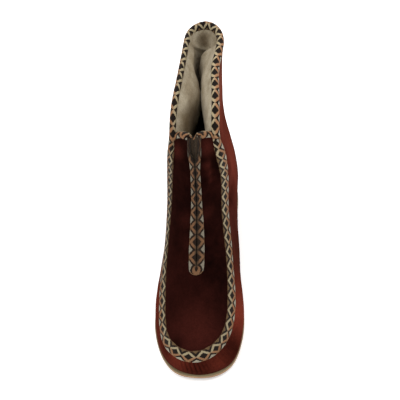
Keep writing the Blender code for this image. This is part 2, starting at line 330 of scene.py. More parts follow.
def vamp_surface(seam):
    """Points [row, column] of the vamp between its seams: rows from the throat to the toe."""
    throat, corner, toe = (rib * RING_STEPS for rib in (THROAT_RIB, VAMP_CORNER_RIB, len(RIBS) - 1))
    inner_side = seam[throat:corner + 1]
    outer_side = seam[2 * toe - corner:2 * toe - throat + 1][::-1]
    toe_edge = seam[corner:2 * toe - corner + 1][::-1]
    u = np.linspace(0.0, 1.0, len(toe_edge))[None, :, None]
    v = np.linspace(0.0, 1.0, len(inner_side))[:, None, None]
    arch = 4 * u * (1 - u)
    throat_edge = outer_side[0] * (1 - u) + inner_side[0] * u
    across = outer_side[:, None] * (1 - u) + inner_side[:, None] * u
    along = throat_edge * (1 - v) + toe_edge[None] * v
    grid = across + along - (throat_edge * (1 - v) + (outer_side[-1] * (1 - u) + inner_side[-1] * u) * v)
    ahead = np.gradient(grid[:, len(toe_edge) // 2], axis=0)
    facing = unit(np.column_stack([np.zeros(len(v)), ahead[:, 2], -ahead[:, 1]]))
    swell = table(CROWN, CROWN_COLUMNS)
    crown = spline(swell["along"], swell["crown"], v.ravel())
    grid += (facing * crown[:, None])[:, None] * arch
    grid[:, :, 2:] += THROAT_RISE * np.clip(1 - v / THROAT_RISE_REACH, 0.0, 1.0) ** 2 * arch
    return grid


def slopes(grid, axis, closed=False):
    """Change from point to point along one axis of a grid."""
    if closed:
        return (np.roll(grid, -1, axis) - np.roll(grid, 1, axis)) / 2
    return np.gradient(grid, axis=axis)


def grid_normals(grid, closed=False):
    """Unit normals of a grid: the first axis crossed with the second."""
    return unit(np.cross(slopes(grid, 0, closed), slopes(grid, 1)))


def grid_quads(shape, closed=False, flip=False):
    """Corner numbers of the quads of a grid."""
    rows, columns = shape[:2]
    i, j = np.meshgrid(np.arange(rows if closed else rows - 1), np.arange(columns - 1), indexing="ij")
    start, after = i * columns + j, (i + 1) % rows * columns + j
    quads = np.stack([start, after, after + 1, start + 1], axis=-1).reshape(-1, 4)
    return quads[:, ::-1] if flip else quads


def field(points, size, seed=0.0):
    """Smooth noise from about -1 to 1 at points, with features of a size in millimetres."""
    flat = points.reshape(-1, 3) / size + seed
    return np.array([noise.noise(Vector(p)) for p in flat]).reshape(points.shape[:-1])


def layered(points, layers):
    """Noise of several sizes, each as size, height and seed."""
    return sum(rise * field(points, size, seed) for size, rise, seed in layers)


def blurred(values, width, closed=True):
    """Values smoothed along their first axis, by a bell of a width in samples."""
    reach = int(3 * width)
    shares = np.exp(-0.5 * (np.arange(-reach, reach + 1) / width) ** 2)
    padding = [(reach, reach)] + [(0, 0)] * (values.ndim - 1)
    padded = np.pad(values, padding, mode="wrap" if closed else "edge")
    return sum(share * padded[i:i + len(values)] for i, share in enumerate(shares / shares.sum()))


def joined(parts):
    """Points and quads of several meshes as those of one."""
    starts = np.cumsum([0] + [points.size // 3 for points, quads in parts])
    quads = [quads + start for (points, quads), start in zip(parts, starts)]
    return np.vstack([points.reshape(-1, 3) for points, quads in parts]), np.vstack(quads)


def tree_of(*grids):
    """Search tree over several (grid, closed) surfaces."""
    points, quads = joined([(grid, grid_quads(grid.shape, closed)) for grid, closed in grids])
    return BVHTree.FromPolygons(points.tolist(), quads.tolist())


def snapped(tree, points):
    """The nearest places on a surface, and the surface's normals there."""
    found = [tree.find_nearest(Vector(p)) for p in points.reshape(-1, 3)]
    return [np.array([hit[k] for hit in found]).reshape(points.shape) for k in range(2)]


def make_piece(name, points, quads, material, colours=None, values=None, uv=None, weld=False):
    """A mesh piece from points in millimetres that rides on the boot.

    colours: one colour for each face. values: names, and one number for each point.
    uv: one pair for each point. weld joins points that lie on each other.
    """
    mesh = bpy.data.meshes.new(name)
    mesh.from_pydata((points.reshape(-1, 3) * MM).tolist(), [], [list(map(int, q)) for q in quads])
    mesh.update()
    if colours is not None:
        layer = mesh.color_attributes.new(name="threads", type="FLOAT_COLOR", domain="CORNER")
        layer.data.foreach_set("color", np.repeat(np.insert(colours, 3, 1.0, axis=1), 4, axis=0).ravel())
    for key, numbers in (values or {}).items():
        layer = mesh.attributes.new(key, "FLOAT", "POINT")
        layer.data.foreach_set("value", np.ravel(numbers).astype(np.float32))
    if uv is not None:
        layer = mesh.uv_layers.new(name="UVMap")
        layer.data.foreach_set("uv", uv.reshape(-1, 2)[quads.ravel()].ravel())
    if weld:
        bm = bmesh.new()
        bm.from_mesh(mesh)
        bmesh.ops.remove_doubles(bm, verts=bm.verts, dist=WELD * MM)
        bm.to_mesh(mesh)
        bm.free()
    mesh.shade_smooth()
    mesh.materials.append(material)
    piece = add_object(name, mesh)
    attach(piece, "root")
    return piece


# Soft creases of the upper, from one end to the other: a trough has a depth above 0, a ridge below 0
CREASE_COLUMNS = ("x0", "y0", "z0", "x1", "y1", "z1", "width", "depth")
CREASES = (
    (30, 4, 84, 32, 60, 66, 5, 2.6),
    (30, 6, 98, 30, 70, 86, 6, -2),
    (28, 8, 113, 28, 60, 108, 5, 2.3),
    (33, 40, 42, 31, 98, 30, 7, 0.7),
    (20, 44, 188, 24, 66, 118, 9, 0.8),
    (-30, 2, 86, -32, 58, 72, 5, 2.7),
    (-30, 6, 101, -30, 72, 92, 6, -2),
    (-28, 8, 118, -28, 58, 120, 5, 2.3),
    (-20, 50, 186, -26, 74, 122, 9, 0.8),
    (-34, 30, 40, -33, 92, 32, 7, 0.6),
    (8.5, -5, 170, 9.5, -17, 122, 2.6, -1.3),
    (13.5, -3, 168, 14.5, -14, 124, 2.4, 1.1),
    (-11, -5, 166, -12.5, -16, 120, 3, -0.7),
    (-20, -52, 62, 18, -50, 62, 6, 0.8),
    (-22, -66, 52, 20, -64, 52, 7, -0.7),
    (-24, -80, 42, 10, -84, 42, 6, 0.5),
)
CREASE_POINTS = 9
CREASE_END = 0.3
SEAM_CALM = 7.0
SEAM_LOOK = 3.0
SEAM_GROOVE = 1.0
SEAM_GROOVE_WIDTH = 1.4
SOFT_NOISE = ((34.0, 0.55, 3.1), (12.0, 0.22, 8.4))

# Velvet tone, lighter and redder above 0 and darker below 0: partly the velvet's own uneven pile, partly
# painted highlights and painted shade, such as painted shade in the creases' troughs and painted highlights
# on their ridges
NAP_COLUMNS = ("x", "y", "z", "size", "tone")
VAMP_NAP_AND_PAINTED_LIGHT = (
    (-19, -5, 166, 8, 0.8),
    (13, -6, 172, 8, 0.75),
    (10.2, -11, 155, 4.5, 0.6),
    (11.4, -10, 146, 4, 0.45),
    (12.3, -9, 137, 4, 0.35),
    (8.2, -21, 106, 7, 0.3),
    (-11.3, -26, 101, 9, 0.35),
    (-9.4, -38.6, 85, 8, 0.22),
    (-8, -64, 61, 11, -0.07),
    (8, -63, 59.5, 11, -0.07),
    (-15, -110.5, 30, 8, -0.35),
    (0, -86, 46, 12, 0.16),
    (-16, -9, 148, 8, 0.15),
    (0, -105, 34, 28, 0.62),
    (-20, -55, 55, 22, 0.18),
    (10, -66, 53, 9, 0.15),
    (8, -100, 36, 9, 0.15),
)
WALL_NAP_AND_PAINTED_LIGHT = (
    (24, 72, 80, 26, 0.58),
    (18, 60, 150, 34, 0.45),
    (38, -69, 26, 28, 0.95),
    (34, -97, 18, 11, -0.3),
    (0, -122, 17, 26, 0.25),
    (22, -121, 16, 9, 0.3),
    (-15, -119, 20, 10, 0.4),
    (-34, -88, 22, 18, 0.3),
    (-38, -60, 26, 20, 0.45),
    (-30, 50, 90, 34, 0.5),
    (0, 122, 120, 38, 0.5),
    (30.5, 12, 82, 6, -0.17),
    (31, 26, 78, 7, -0.22),
    (31.5, 42, 73, 6, -0.2),
    (30, 22, 95, 8, 0.17),
    (30, 44, 90, 8, 0.16),
    (24, 22, 126, 22, -0.1),
    (29, 24, 111, 7, -0.12),
    (-30.5, 12, 84, 6, -0.17),
    (-31, 26, 80, 7, -0.22),
    (-31.5, 42, 76, 6, -0.2),
    (-30, 24, 98, 8, 0.17),
    (-30, 46, 95, 8, 0.16),
    (-28.5, 26, 118, 7, -0.12),
    (0, 122, 50, 34, 0.4),
    (-34, 10, 40, 32, 0.35),
    (-30, 90, 60, 30, 0.3),
)
NAP_NOISE = ((30.0, 0.12, 6.3), (11.0, 0.06, 1.9), (4.5, 0.07, 4.4))

# Pale painted highlight, a sheen, on the velvet under the collar's ribbon, on its inner side
WALL_PAINTED_HIGHLIGHT = (
    (18, 90, 168, 24, 0.2),
    (18, 66, 176, 22, 0.2),
    (20, 44, 180, 20, 0.2),
    (22, 24, 176, 16, 0.16),
)
# Painted shade in the valleys of the toe's gathers: its strength, and how far it reaches round from the toe
PLEAT_SHADE = 0.45
PLEAT_SHADE_REACH = 20.0


def tone_of_nap_and_painted_light(points, patches, unevenness=NAP_NOISE):
    """Tone at each point: listed patches of the velvet's own tone, painted highlight and painted shade, and a
    soft unevenness.
    """
    total = layered(points, unevenness) + np.zeros(points.shape[:-1])
    for patch in records(patches, NAP_COLUMNS):
        gap = np.linalg.norm(points - [patch[axis] for axis in "xyz"], axis=-1)
        total += patch["tone"] * bell(gap, 0.0, patch["size"])
    return total


# Gathers of the side wall round the toe; the wander's waves have a reach, a size and a phase
PLEAT_PITCH = 3.4
PLEAT_WANDER = ((0.9, 10.5, 0.6), (0.5, 4.7, 2.0))
PLEAT_SHARPNESS = 0.7
PLEAT_UNEVEN = 0.35
UNEVEN_SIZE = 6.1
PLEAT_TOP = 2.0
PLEAT_SHADE_TOP = 10.0
PLEAT_DEPTH = 0.85
PLEAT_REACH = 60.0
PLEAT_FALL = 11.0
PLEAT_COLUMNS = 42
PLEAT_STEP = 0.25
TUCK_DEPTH = 0.7
TUCK_REACH = 4.0

# Fleece lining of the collar: how far the pile stands beyond the roll at some depths below the rim,
# and at the back how far it stands at some depths below the facing's lower edge
PILE_COLUMNS = ("down", "pile_inner", "pile_outer")
COLLAR_PILE = (
    (0, -1, -1),
    (3, -0.2, -0.2),
    (5, 0.9, 0.9),
    (8, 2.6, 2.8),
    (15, 6, 6.6),
    (22, 8.8, 9.4),
    (27, 10, 10.4),
    (36, 10.6, 10.8),
    (48, 10.4, 10.4),
    (62, 9, 9),
    (90, 6, 6),
    (125, 1.5, 1.5),
    (150, 0, 0),
    (230, 0, 0),
)
BACK_PILE = ((-30, -0.6), (-22, 0.4), (-9, 0.7), (-4.5, 2), (-1.9, 3.3), (-0.6, 1), (0.6, 1.5),
             (8, 2.4), (30, 2.2), (90, 0.5), (230, 0))

# Inner and outer side: the rib where its bulge starts past the back, over how many ribs, how far it
# leans over and where, and how far it leans where the sides meet
LEAN_COLUMNS = ("end_rib", "fade", "lean", "lean_rib", "lean_ribs", "meet", "meet_rib", "meet_ribs")
LEAN = (
    (0.6, 0.7, 4.6, 1.6, 0.8, -4, 5.2, 1),
    (1.2, 1.6, -7, 2, 0.8, 3.4, 3.4, 0.8),
)

# Where something starts and over how far it comes, in millimetres below the rim or the facing's edge
LEAN_RISE = (10.0, 14.0)
LEAN_FALL = (45.0, 45.0)
FACING_EDGE = (-1.0, 1.6)
BACK_TOP = (4.0, 9.0)
DEEP = (32.0, 50.0)
# The same in ribs from the back seam
BACK_SIDE = (0.2, 0.8)
FRONT = (3.5, 1.0)
FRONT_HIGHER = (4.0, 1.2)

# The facing inside the back: how deep it hangs, how fast it ends beside the back seam, and the painted
# highlight along its ledge, where the brown is left off
FACING_DEPTH = 28.0
FACING_CURVE = 7.0
LEDGE_PAINTED_HIGHLIGHT = (-3.0, 2.6)

# Pile: where it turns plump in ribs, its slope just below the rim, how deep it follows the roll, and
# its thickness and reach along the vamp seam
PLUMP_AHEAD = 0.4
PLUMP_BLEND = 1.6
RIM_SLOPE = 0.05
RIM_SINK = 0.6
PILE_FADE = 110.0
SEAM_PILE = 2.6
SEAM_PULL = 9.0
VAMP_CURLS = 0.8
LINING_TOP_STEPS = tuple(1.2 + 1.1 * i for i in range(62))
LINING_LOWER_STEPS = 40

# Brown of the pile: browner at the back above its facing; painted shade under the facing, deep inside, on
# the outer side, and at the front of the inner and the outer side, where it starts higher up towards the
# throat; the brown of the back has its middle a little to one side
BROWN_BACK = 0.6
PAINTED_SHADE_UNDER = 0.3
PAINTED_SHADE_DEEP = 0.1
PAINTED_SHADE_OUTER = 0.08
PAINTED_SHADE_FRONT = (0.1, 0.8)
FRONT_START = 9.0
FRONT_RISE = 6.0
FRONT_SPAN = 16.0
MIDDLE_SHIFT = 0.2

# Curly pile: knobs of a size and a height whose places wander, on soft tufts
CURL_SIZE = 2.7
CURL_RISE = 0.6
CURL_ROUND = 1.5
CURL_START = 4.0
CURL_WANDER = 0.9
CURL_WANDER_SIZE = 4.0
CURL_SEEDS = (1.7, 5.9, 9.2)
TUFTS = ((9.0, 0.45, 2.2),)


def crease_shift(points, tree):
    """How far the creases lift each point along its normal."""
    flat = points.reshape(-1, 3)
    shift = np.zeros(len(flat))
    steps = CREASE_POINTS - 1
    for crease in records(CREASES, CREASE_COLUMNS):
        ends = [[crease[axis + end] for axis in "xyz"] for end in "01"]
        line = snapped(tree, np.linspace(*ends, CREASE_POINTS))[0]
        nearest = np.full(len(flat), np.inf)
        along = np.zeros(len(flat))
        for k in range(steps):
            step = line[k + 1] - line[k]
            part = np.clip((flat - line[k]) @ step / (step @ step), 0.0, 1.0)
            gap = np.linalg.norm(flat - line[k] - part[:, None] * step, axis=1)
            along = np.where(gap < nearest, (k + part) / steps, along)
            nearest = np.minimum(gap, nearest)
        ends_fade = smooth_step(along / CREASE_END) * smooth_step((1 - along) / CREASE_END)
        shift -= crease["depth"] * bell(nearest, 0.0, crease["width"]) * ends_fade
    return shift.reshape(points.shape[:-1])


def ring_ribs(count):
    """For each column of the ring, how many ribs it is from the back seam, on its own side."""
    rib = np.arange(count) / RING_STEPS
    return np.minimum(rib, 2 * (len(RIBS) - 1) - rib)


def collar_share(ribs, blend=ROLL_BLEND_RIBS):
    """1 on the free collar and 0 along the vamp seam."""
    return 1 - ramp(ribs, THROAT_RIB, blend)


def rim_frame(top, facing):
    """Along, outward and up directions of the closed top edge."""
    along = unit(slopes(top, 0, closed=True))
    out = across_of(facing, along)
    return along, out, np.cross(along, out)


def quarter(half):
    """Length of the roll's curve from its top to the start of its straight side."""
    return np.sqrt((half ** 2 + ROLL_HEIGHT ** 2) / 2) * math.pi / 2


def roll_points(top, out, up, half, across, shrink=0.0):
    """Points over the collar's roll, by their distance across from its top, above 0 outward."""
    centre = (top - out * half[:, None] - up * ROLL_DROP)[:, None]
    bend = quarter(half)[:, None]
    angles = np.clip(across / bend, -1.0, 1.0) * math.pi / 2
    wide = (half[:, None] - shrink) * np.sin(angles)
    high = (ROLL_HEIGHT - shrink) * np.cos(angles) - np.clip(np.abs(across) - bend, 0.0, None)
    return centre + out[:, None] * wide[..., None] + up[:, None] * high[..., None]


def ribbon_lie(ribs):
    """Half the roll's thickness, and the ribbon's slide and turn, at each column of the ring."""
    rows = table(LIE, LIE_COLUMNS)
    inner_side = np.arange(len(ribs)) <= len(ribs) // 2
    half, slide, turn = (blurred(by_side(rows, name, ribs, inner_side), LIE_BLUR)
                         for name in ("half", "slide", "turn"))
    return half, slide, np.radians(turn)


def turned(vectors, axes, angles):
    """Vectors turned about unit axes."""
    angles = angles[:, None]
    along = axes * (axes * vectors).sum(-1, keepdims=True)
    return vectors * np.cos(angles) + np.cross(axes, vectors) * np.sin(angles) + along * (1 - np.cos(angles))


def across_of(facing, along):
    """Directions without the part that runs along others."""
    return unit(facing - (facing * along).sum(-1, keepdims=True) * along)


class Upper:
    """The upper's surfaces, worked out once: side wall, vamp, and how the ribbon lies on them."""

    def __init__(self):
        self.columns = wall_columns()
        wall, self.down = wall_surface(self.columns, TOP_STEPS, LOWER_STEPS)
        self.top = wall[:, 0]
        vamp = vamp_surface(self.top)
        self.ribs = ring_ribs(len(self.top))
        self.share = collar_share(self.ribs)
        self.along, self.out, self.up = rim_frame(self.top, grid_normals(wall, True)[:, 1])
        self.half, self.slide, self.turn = ribbon_lie(self.ribs)
        self.vamp_gap, nearest = vamp_edge_gap(vamp, self.top)
        tree = tree_of((wall, True), (vamp, False))
        self.seam_facing = seam_normals(self, tree_of((vamp, False)))
        self.ribbon = ribbon_controls(self, tree)
        back_seam = SEAM_GROOVE * bell(np.linalg.norm(wall - wall[:1], axis=2), 0.0, SEAM_GROOVE_WIDTH)
        wall = self.creased(wall, tree, self.down, back_seam, True)
        vamp = self.creased(vamp, tree, self.vamp_gap, 0.0, False)
        outer_pull = self.pull(self.ribbon[:, -1], wall, True, self.share)
        inner_pull = self.pull(self.ribbon[:, 0], vamp, False, collar_share(self.ribs + 0.5))
        self.wall = wall + outer_pull[:, None] * pull_share(self.down)[..., None]
        self.vamp = vamp + inner_pull[nearest] * pull_share(self.vamp_gap)[..., None]
        self.wall_normals = grid_normals(self.wall, True)
        self.vamp_normals = grid_normals(self.vamp)
        self.vamp_tree = tree_of((self.vamp, False))

    def creased(self, grid, tree, gap, groove, closed):
        """A surface with its creases and its soft unevenness, calm beside the seam."""
        lift = (crease_shift(grid, tree) + layered(grid, SOFT_NOISE) - groove) * smooth_step(gap / SEAM_CALM)
        return grid + grid_normals(grid, closed) * lift[..., None]

    def pull(self, edge, grid, closed, free):
        """How far one edge of the ribbon is from the cloth beside it, where it lies on the seam."""
        gap = edge - snapped(tree_of((grid, closed)), edge)[0]
        return blurred(gap * (1 - free)[:, None], LIE_BLUR)


def pull_share(gap):
    """How much cloth at a distance from the seam follows the ribbon's edge."""
    near = np.clip(gap / RIBBON_HALF, 0.0, 1.0)
    return near * (1 - ramp(gap, RIBBON_HALF, LIE_REACH))


def seam_normals(upper, vamp_tree):
    """Normals along the top edge: the wall's on the collar, the mean of wall and vamp on the seam."""
    vamp = snapped(vamp_tree, upper.top - upper.out * SEAM_LOOK)[1]
    on_seam = (upper.ribs > THROAT_RIB - 0.5)[:, None]
    return across_of(unit(upper.out + vamp * on_seam), upper.along)


def ribbon_controls(upper, tree):
    """Five points across the ribbon at each column of the ring, from its inner to its outer edge.

    It wraps over the collar's roll, and lies flat along the seam past the throat.
    """
    across = np.linspace(-1.0, 1.0, 5)[None] * RIBBON_HALF * CONTROL_REACH + upper.slide[:, None]
    roll = roll_points(upper.top, upper.out, upper.up, upper.half, across)
    aside = np.cross(turned(upper.seam_facing, upper.along, upper.turn), upper.along)
    flat = upper.top[:, None] + aside[:, None] * across[..., None]
    loose = np.clip(np.degrees(np.abs(upper.turn)) / LIE_LOOSE, 0.0, 1.0)[:, None, None]
    flat = flat * loose + snapped(tree, flat)[0] * (1 - loose)
    mix = upper.share[:, None, None]
    return blurred(roll * mix + flat * (1 - mix), STRIP_BLUR)


def vamp_edge_gap(vamp, top):
    """Distance of each vamp point from the seam, and the nearest column of the ring."""
    gap = np.full(vamp.shape[:2], np.inf)
    nearest = np.zeros(vamp.shape[:2], dtype=int)
    first = THROAT_RIB * RING_STEPS
    for i in range(first, len(top) - first + 1):
        square = ((vamp - top[i]) ** 2).sum(-1)
        nearest = np.where(square < gap, i, nearest)
        gap = np.minimum(square, gap)
    return np.sqrt(gap), nearest


def toe_pleats(upper):
    """Gathers round the toe, deepest under the ribbon and gone at the sole, on a finer ring."""
    run = chord_knots(upper.top, closed=True)[0]
    toe = len(run) // 2
    first, last = toe - PLEAT_COLUMNS, toe + PLEAT_COLUMNS
    places = np.concatenate([np.arange(first), np.arange(first, last, PLEAT_STEP), np.arange(last, len(run))])
    from_toe = np.interp(places, np.arange(len(run)), run) - run[toe]
    wander = sum(reach * np.sin(from_toe / size + phase) for reach, size, phase in PLEAT_WANDER)
    wave = np.abs(np.sin(math.pi * (from_toe + wander) / PLEAT_PITCH)) ** PLEAT_SHARPNESS
    uneven = 1 - PLEAT_UNEVEN + PLEAT_UNEVEN * np.sin(from_toe / UNEVEN_SIZE + 1.0)
    strength = PLEAT_DEPTH * uneven * smooth_step((PLEAT_REACH - np.abs(from_toe)) / (PLEAT_REACH / 2))
    points, normals, down = (even_ring(values, places)
                             for values in (upper.wall, upper.wall_normals, upper.down))
    lift = (wave * strength)[:, None] * bell(down, PLEAT_TOP, PLEAT_FALL)
    # painted shade in the gathers' valleys, strongest at the toe
    shade = ((wave - 1) * strength * bell(from_toe, 0.0, PLEAT_SHADE_REACH))[:, None]
    return places, points + unit(normals) * lift[..., None], shade * bell(down, PLEAT_SHADE_TOP, PLEAT_FALL)


def velvet_wall(upper, material):
    """Side wall: gathered at the toe, tucked under the ribbon and turned over the collar's roll."""
    share = upper.share[:, None]
    tuck = TUCK_DEPTH * bell(upper.down, 0.0, TUCK_REACH) * (1 - share)
    under = 1 - ROLL_UNDER * np.clip(1 - upper.down / ROLL_DROP, 0.0, 1.0)
    across = quarter(upper.half)[:, None] * under + np.clip(upper.down - ROLL_DROP, 0.0, None)
    rolled = roll_points(upper.top, upper.out, upper.up, upper.half, across, ROLL_TUCK)
    mix = (share * (1 - ramp(upper.down, ROLL_END, ROLL_FADE)))[..., None]
    places, points, shade = toe_pleats(upper)
    points += even_ring((rolled - upper.wall) * mix - upper.wall_normals * tuck[..., None], places)
    # The wall's tone: its own unevenness with painted highlights and painted shade, the painted shade of the
    # gathers' valleys, and a pale painted highlight under the inner collar
    tones = {"nap_and_painted_light": tone_of_nap_and_painted_light(points, WALL_NAP_AND_PAINTED_LIGHT) + shade * PLEAT_SHADE,
             "painted_highlight": tone_of_nap_and_painted_light(points, WALL_PAINTED_HIGHLIGHT, ())}
    hem = points[:, -1] - grid_normals(points, True)[:, -1] * HEM
    points = np.concatenate([points, hem[:, None]], axis=1)
    points[:, -2:, 2] -= SEAT_GAP
    tones = {name: np.pad(rows, ((0, 0), (0, 1)), mode="edge") for name, rows in tones.items()}
    return make_piece("velvet_wall", points, grid_quads(points.shape, True), material, values=tones)


# Slit of the vamp: half its gap, and the V at its mouth
SLIT_X = -0.6
SLIT_HALF = 0.45
SLIT_END_Z = 69.8
SLIT_CLOSING = 3.0
SLIT_ROW_SHARE = 0.62
MOUTH_HALF = 3.6
MOUTH_STRAIGHT = 13.0
MOUTH_DEPTH = 25.0
VAMP_HALF_COLUMNS = 44
VAMP_ROWS = 170

# Waves of the throat edge: how far it rises at some places across, from the outer to the inner side
WAVE_COLUMNS = ("across", "rise")
THROAT_WAVE = ((0, -2.2), (0.15, 0.9), (0.3, 2.2), (0.43, 0.4), (0.5, -1.6), (0.56, 1), (0.7, 3.4),
               (0.86, 3), (1, 0))
WAVE_REACH = 22.0


class Slit:
    """Places on the vamp measured from its slit: how far down from the throat, and how far across."""

    def __init__(self, upper):
        self.layers = np.concatenate([upper.vamp, upper.vamp_normals], axis=2)
        centre = np.array([read(SLIT_X, row[:, 0], row[:, :3])[0] for row in self.layers])
        self.run, self.length = chord_knots(centre)
        self.end = float(np.interp(SLIT_END_Z, centre[::-1, 2], self.run[::-1]))

    def row(self, down):
        """The vamp's points and normals across, at one distance down the middle from the throat."""
        at = float(np.interp(down, self.run, np.arange(len(self.run))))
        low = min(int(at), len(self.run) - 2)
        row = self.layers[low] * (low + 1 - at) + self.layers[low + 1] * (at - low)
        return row[:, :3], unit(row[:, 3:])

    def place(self, down, x):
        """Point and normal at a distance down and a place across, without the throat's waves."""
        points, normals = self.row(down)
        return read(x, points[:, 0], points)[0], unit(read(x, points[:, 0], normals)[0])

    def line(self, down, xs):
        """Points and normals at one distance down and several places across, with the throat's waves."""
        points, normals = self.row(down)
        first, last = points[[0, -1], 0]
        line, facing = (read(xs, points[:, 0], values) for values in (points, normals))
        beyond = np.clip(xs, first, last)
        line[:, 0] += xs - beyond
        line[:, 2] += wave_up((beyond - first) / (last - first), down)
        return line, unit(facing)

    def half_rows(self, side, edge=None):
        """Points, normals and distances down of one half, from the throat to the toe.

        Each row runs from the slit's edge to the seam. An edge table puts a rolled edge before it.
        """
        slit_rows = int(VAMP_ROWS * SLIT_ROW_SHARE)
        downs = np.concatenate([np.linspace(0.0, self.end, slit_rows, endpoint=False),
                                np.linspace(self.end, self.length, int(VAMP_ROWS * (1 - SLIT_ROW_SHARE)))])
        found = []
        for down in downs:
            lead = np.array([self.half_gap(down)])
            if edge is not None:
                lead = lead * edge["gap_share"] + edge["beside"] * self.closing(down)
            start, stop = SLIT_X + side * lead[-1], self.row(down)[0][-1 if side > 0 else 0, 0]
            xs = np.linspace(start, stop, VAMP_HALF_COLUMNS)
            found.append(self.line(down, xs if edge is None else np.append(SLIT_X + side * lead, xs)))
        return (*(np.array([f[k] for f in found]) for k in range(2)), downs)

    def closing(self, down):
        """1 along the slit, falling to 0 in its last few millimetres, and 0 below it."""
        return min(1.0, max(0.0, (self.end - down) / SLIT_CLOSING))

    def half_gap(self, down):
        """Half the slit's gap: a wide mouth at the throat, narrow below, closed past the end."""
        mouth = 1 - ramp(down, MOUTH_STRAIGHT, MOUTH_DEPTH - MOUTH_STRAIGHT)
        return (SLIT_HALF + (MOUTH_HALF - SLIT_HALF) * mouth) * self.closing(down)


def wave_up(across, down):
    """How far the throat edge and what is just below it are shifted up."""
    waves = table(THROAT_WAVE, WAVE_COLUMNS)
    return spline(waves["across"], waves["rise"], across) * max(0.0, 1 - down / WAVE_REACH) ** 2


def edge_gap(grid):
    """Distance of each point of half a vamp from the end of its own row, and of its own column."""
    return [np.linalg.norm(end - grid, axis=2) for end in (grid[:, -1:], grid[-1:])]


def velvet_vamp(slit, material):
    """The vamp's velvet: two halves beside the slit that join below it, tucked under the ribbons."""
    parts = []
    for side in (1, -1):
        grid, facing, downs = slit.half_rows(side)
        tuck = TUCK_DEPTH * bell(np.minimum(*edge_gap(grid)), 0.0, TUCK_REACH)
        parts.append((grid - facing * tuck[..., None], grid_quads(grid.shape, flip=side < 0)))
    points, quads = joined(parts)
    # The vamp's tone: its own unevenness with painted highlights and painted shade, among them painted shade
    # below the slit's end
    return make_piece("velvet_vamp", points, quads, material,
                      values={"nap_and_painted_light": tone_of_nap_and_painted_light(points, VAMP_NAP_AND_PAINTED_LIGHT)}, weld=True)


def curls(points):
    """Height of curly pile: rounded knobs a few millimetres wide, on soft tufts."""
    flat = points.reshape(-1, 3)
    wander = np.column_stack([field(flat, CURL_WANDER_SIZE, seed) for seed in CURL_SEEDS]) * CURL_WANDER
    near = np.array([noise.voronoi(Vector(p))[0][0] for p in (flat + wander) / CURL_SIZE])
    knobs = CURL_RISE * (1 - np.clip(near * CURL_ROUND, 0.0, 1.0) ** 2)
    return (knobs + layered(flat, TUFTS)).reshape(points.shape[:-1])


def fleece_wall(upper, material):
    """Pile inside the side wall: plump under the collar's rim and thin along the vamp seam."""
    base, down = wall_surface(upper.columns, LINING_TOP_STEPS, LINING_LOWER_STEPS)
    share = collar_share(upper.ribs + PLUMP_AHEAD, PLUMP_BLEND)[:, None]
    seam = 1 - smooth_step(down / SEAM_PULL)
    normals = turned_towards(grid_normals(base, True), upper.seam_facing[:, None], seam * (1 - share))
    ribs = upper.ribs[:, None]
    inner_side = (np.arange(len(base)) <= len(base) // 2)[:, None]
    lie = {name: np.where(inner_side, *pair) for name, pair in table(LEAN, LEAN_COLUMNS).items()}
    side = ramp(ribs, lie["end_rib"], lie["fade"])
    below_facing = down - (FACING_DEPTH - FACING_CURVE * ribs ** 2)
    under = ramp(below_facing, *FACING_EDGE)
    back_pile = np.interp(below_facing, *np.array(BACK_PILE).T)
    side_pile = by_side(table(COLLAR_PILE, PILE_COLUMNS), "pile", down, inner_side, at="down")
    leaning = ramp(down, *LEAN_RISE) * (1 - ramp(down, *LEAN_FALL))
    for name in ("lean", "meet"):
        side_pile += lie[name] * bell(ribs, lie[name + "_rib"], lie[name + "_ribs"]) * leaning
    extra = back_pile * (1 - side) + side * (side_pile * under + (RIM_SLOPE * down - RIM_SINK) * (1 - under))
    fade = smooth_step(down / PILE_FADE)
    collar = 2 * upper.half[:, None] * (1 - fade) + WALL * fade + extra
    below = WALL - (WALL - SEAM_PILE) * seam
    points = base - normals * (collar * share + below * (1 - share))[..., None]
    points -= normals * (curls(points) * smooth_step(down / CURL_START))[..., None]
    # Brown of the pile: browner in the middle of the back above the facing's edge, left off along the ledge
    # as a painted highlight; painted shade under the facing, deep inside, on the outer side and towards the
    # front
    middle = np.where(inner_side, ribs + MIDDLE_SHIFT, np.abs(ribs - MIDDLE_SHIFT))
    brown = BROWN_BACK * (1 - ramp(middle, *BACK_SIDE)) * ramp(down, *BACK_TOP)
    brown *= (1 - under) * (1 - bell(below_facing, *LEDGE_PAINTED_HIGHLIGHT))
    brown += under * (1 - side) * PAINTED_SHADE_UNDER
    start = FRONT_START - FRONT_RISE * ramp(ribs, *FRONT_HIGHER)
    front = np.where(inner_side, *PAINTED_SHADE_FRONT) * ramp(ribs, *FRONT) * ramp(down, start, FRONT_SPAN)
    for more in (PAINTED_SHADE_DEEP * ramp(down, *DEEP), np.where(inner_side, 0.0, PAINTED_SHADE_OUTER), front):
        brown += (1 - brown) * more
    return make_piece("fleece_wall", points, grid_quads(base.shape, True, flip=True), material,
                      values={"brown": brown})


# Edge of the lining at the slit: places across beside the half gap, and depths under the outer face
EDGE_COLUMNS = ("gap_share", "beside", "depth")
LINING_EDGE = (
    (1, 1.8, 3),
    (1, 0.9, 3.2),
    (1, 0.2, 2.9),
    (0.75, 0.3, 2.6),
    (0.45, 0.35, 2.6),
    (0.2, 0.3, 2.8),
    (0, 0.1, 3.1),
    (0, 0.1, 4.1),
)


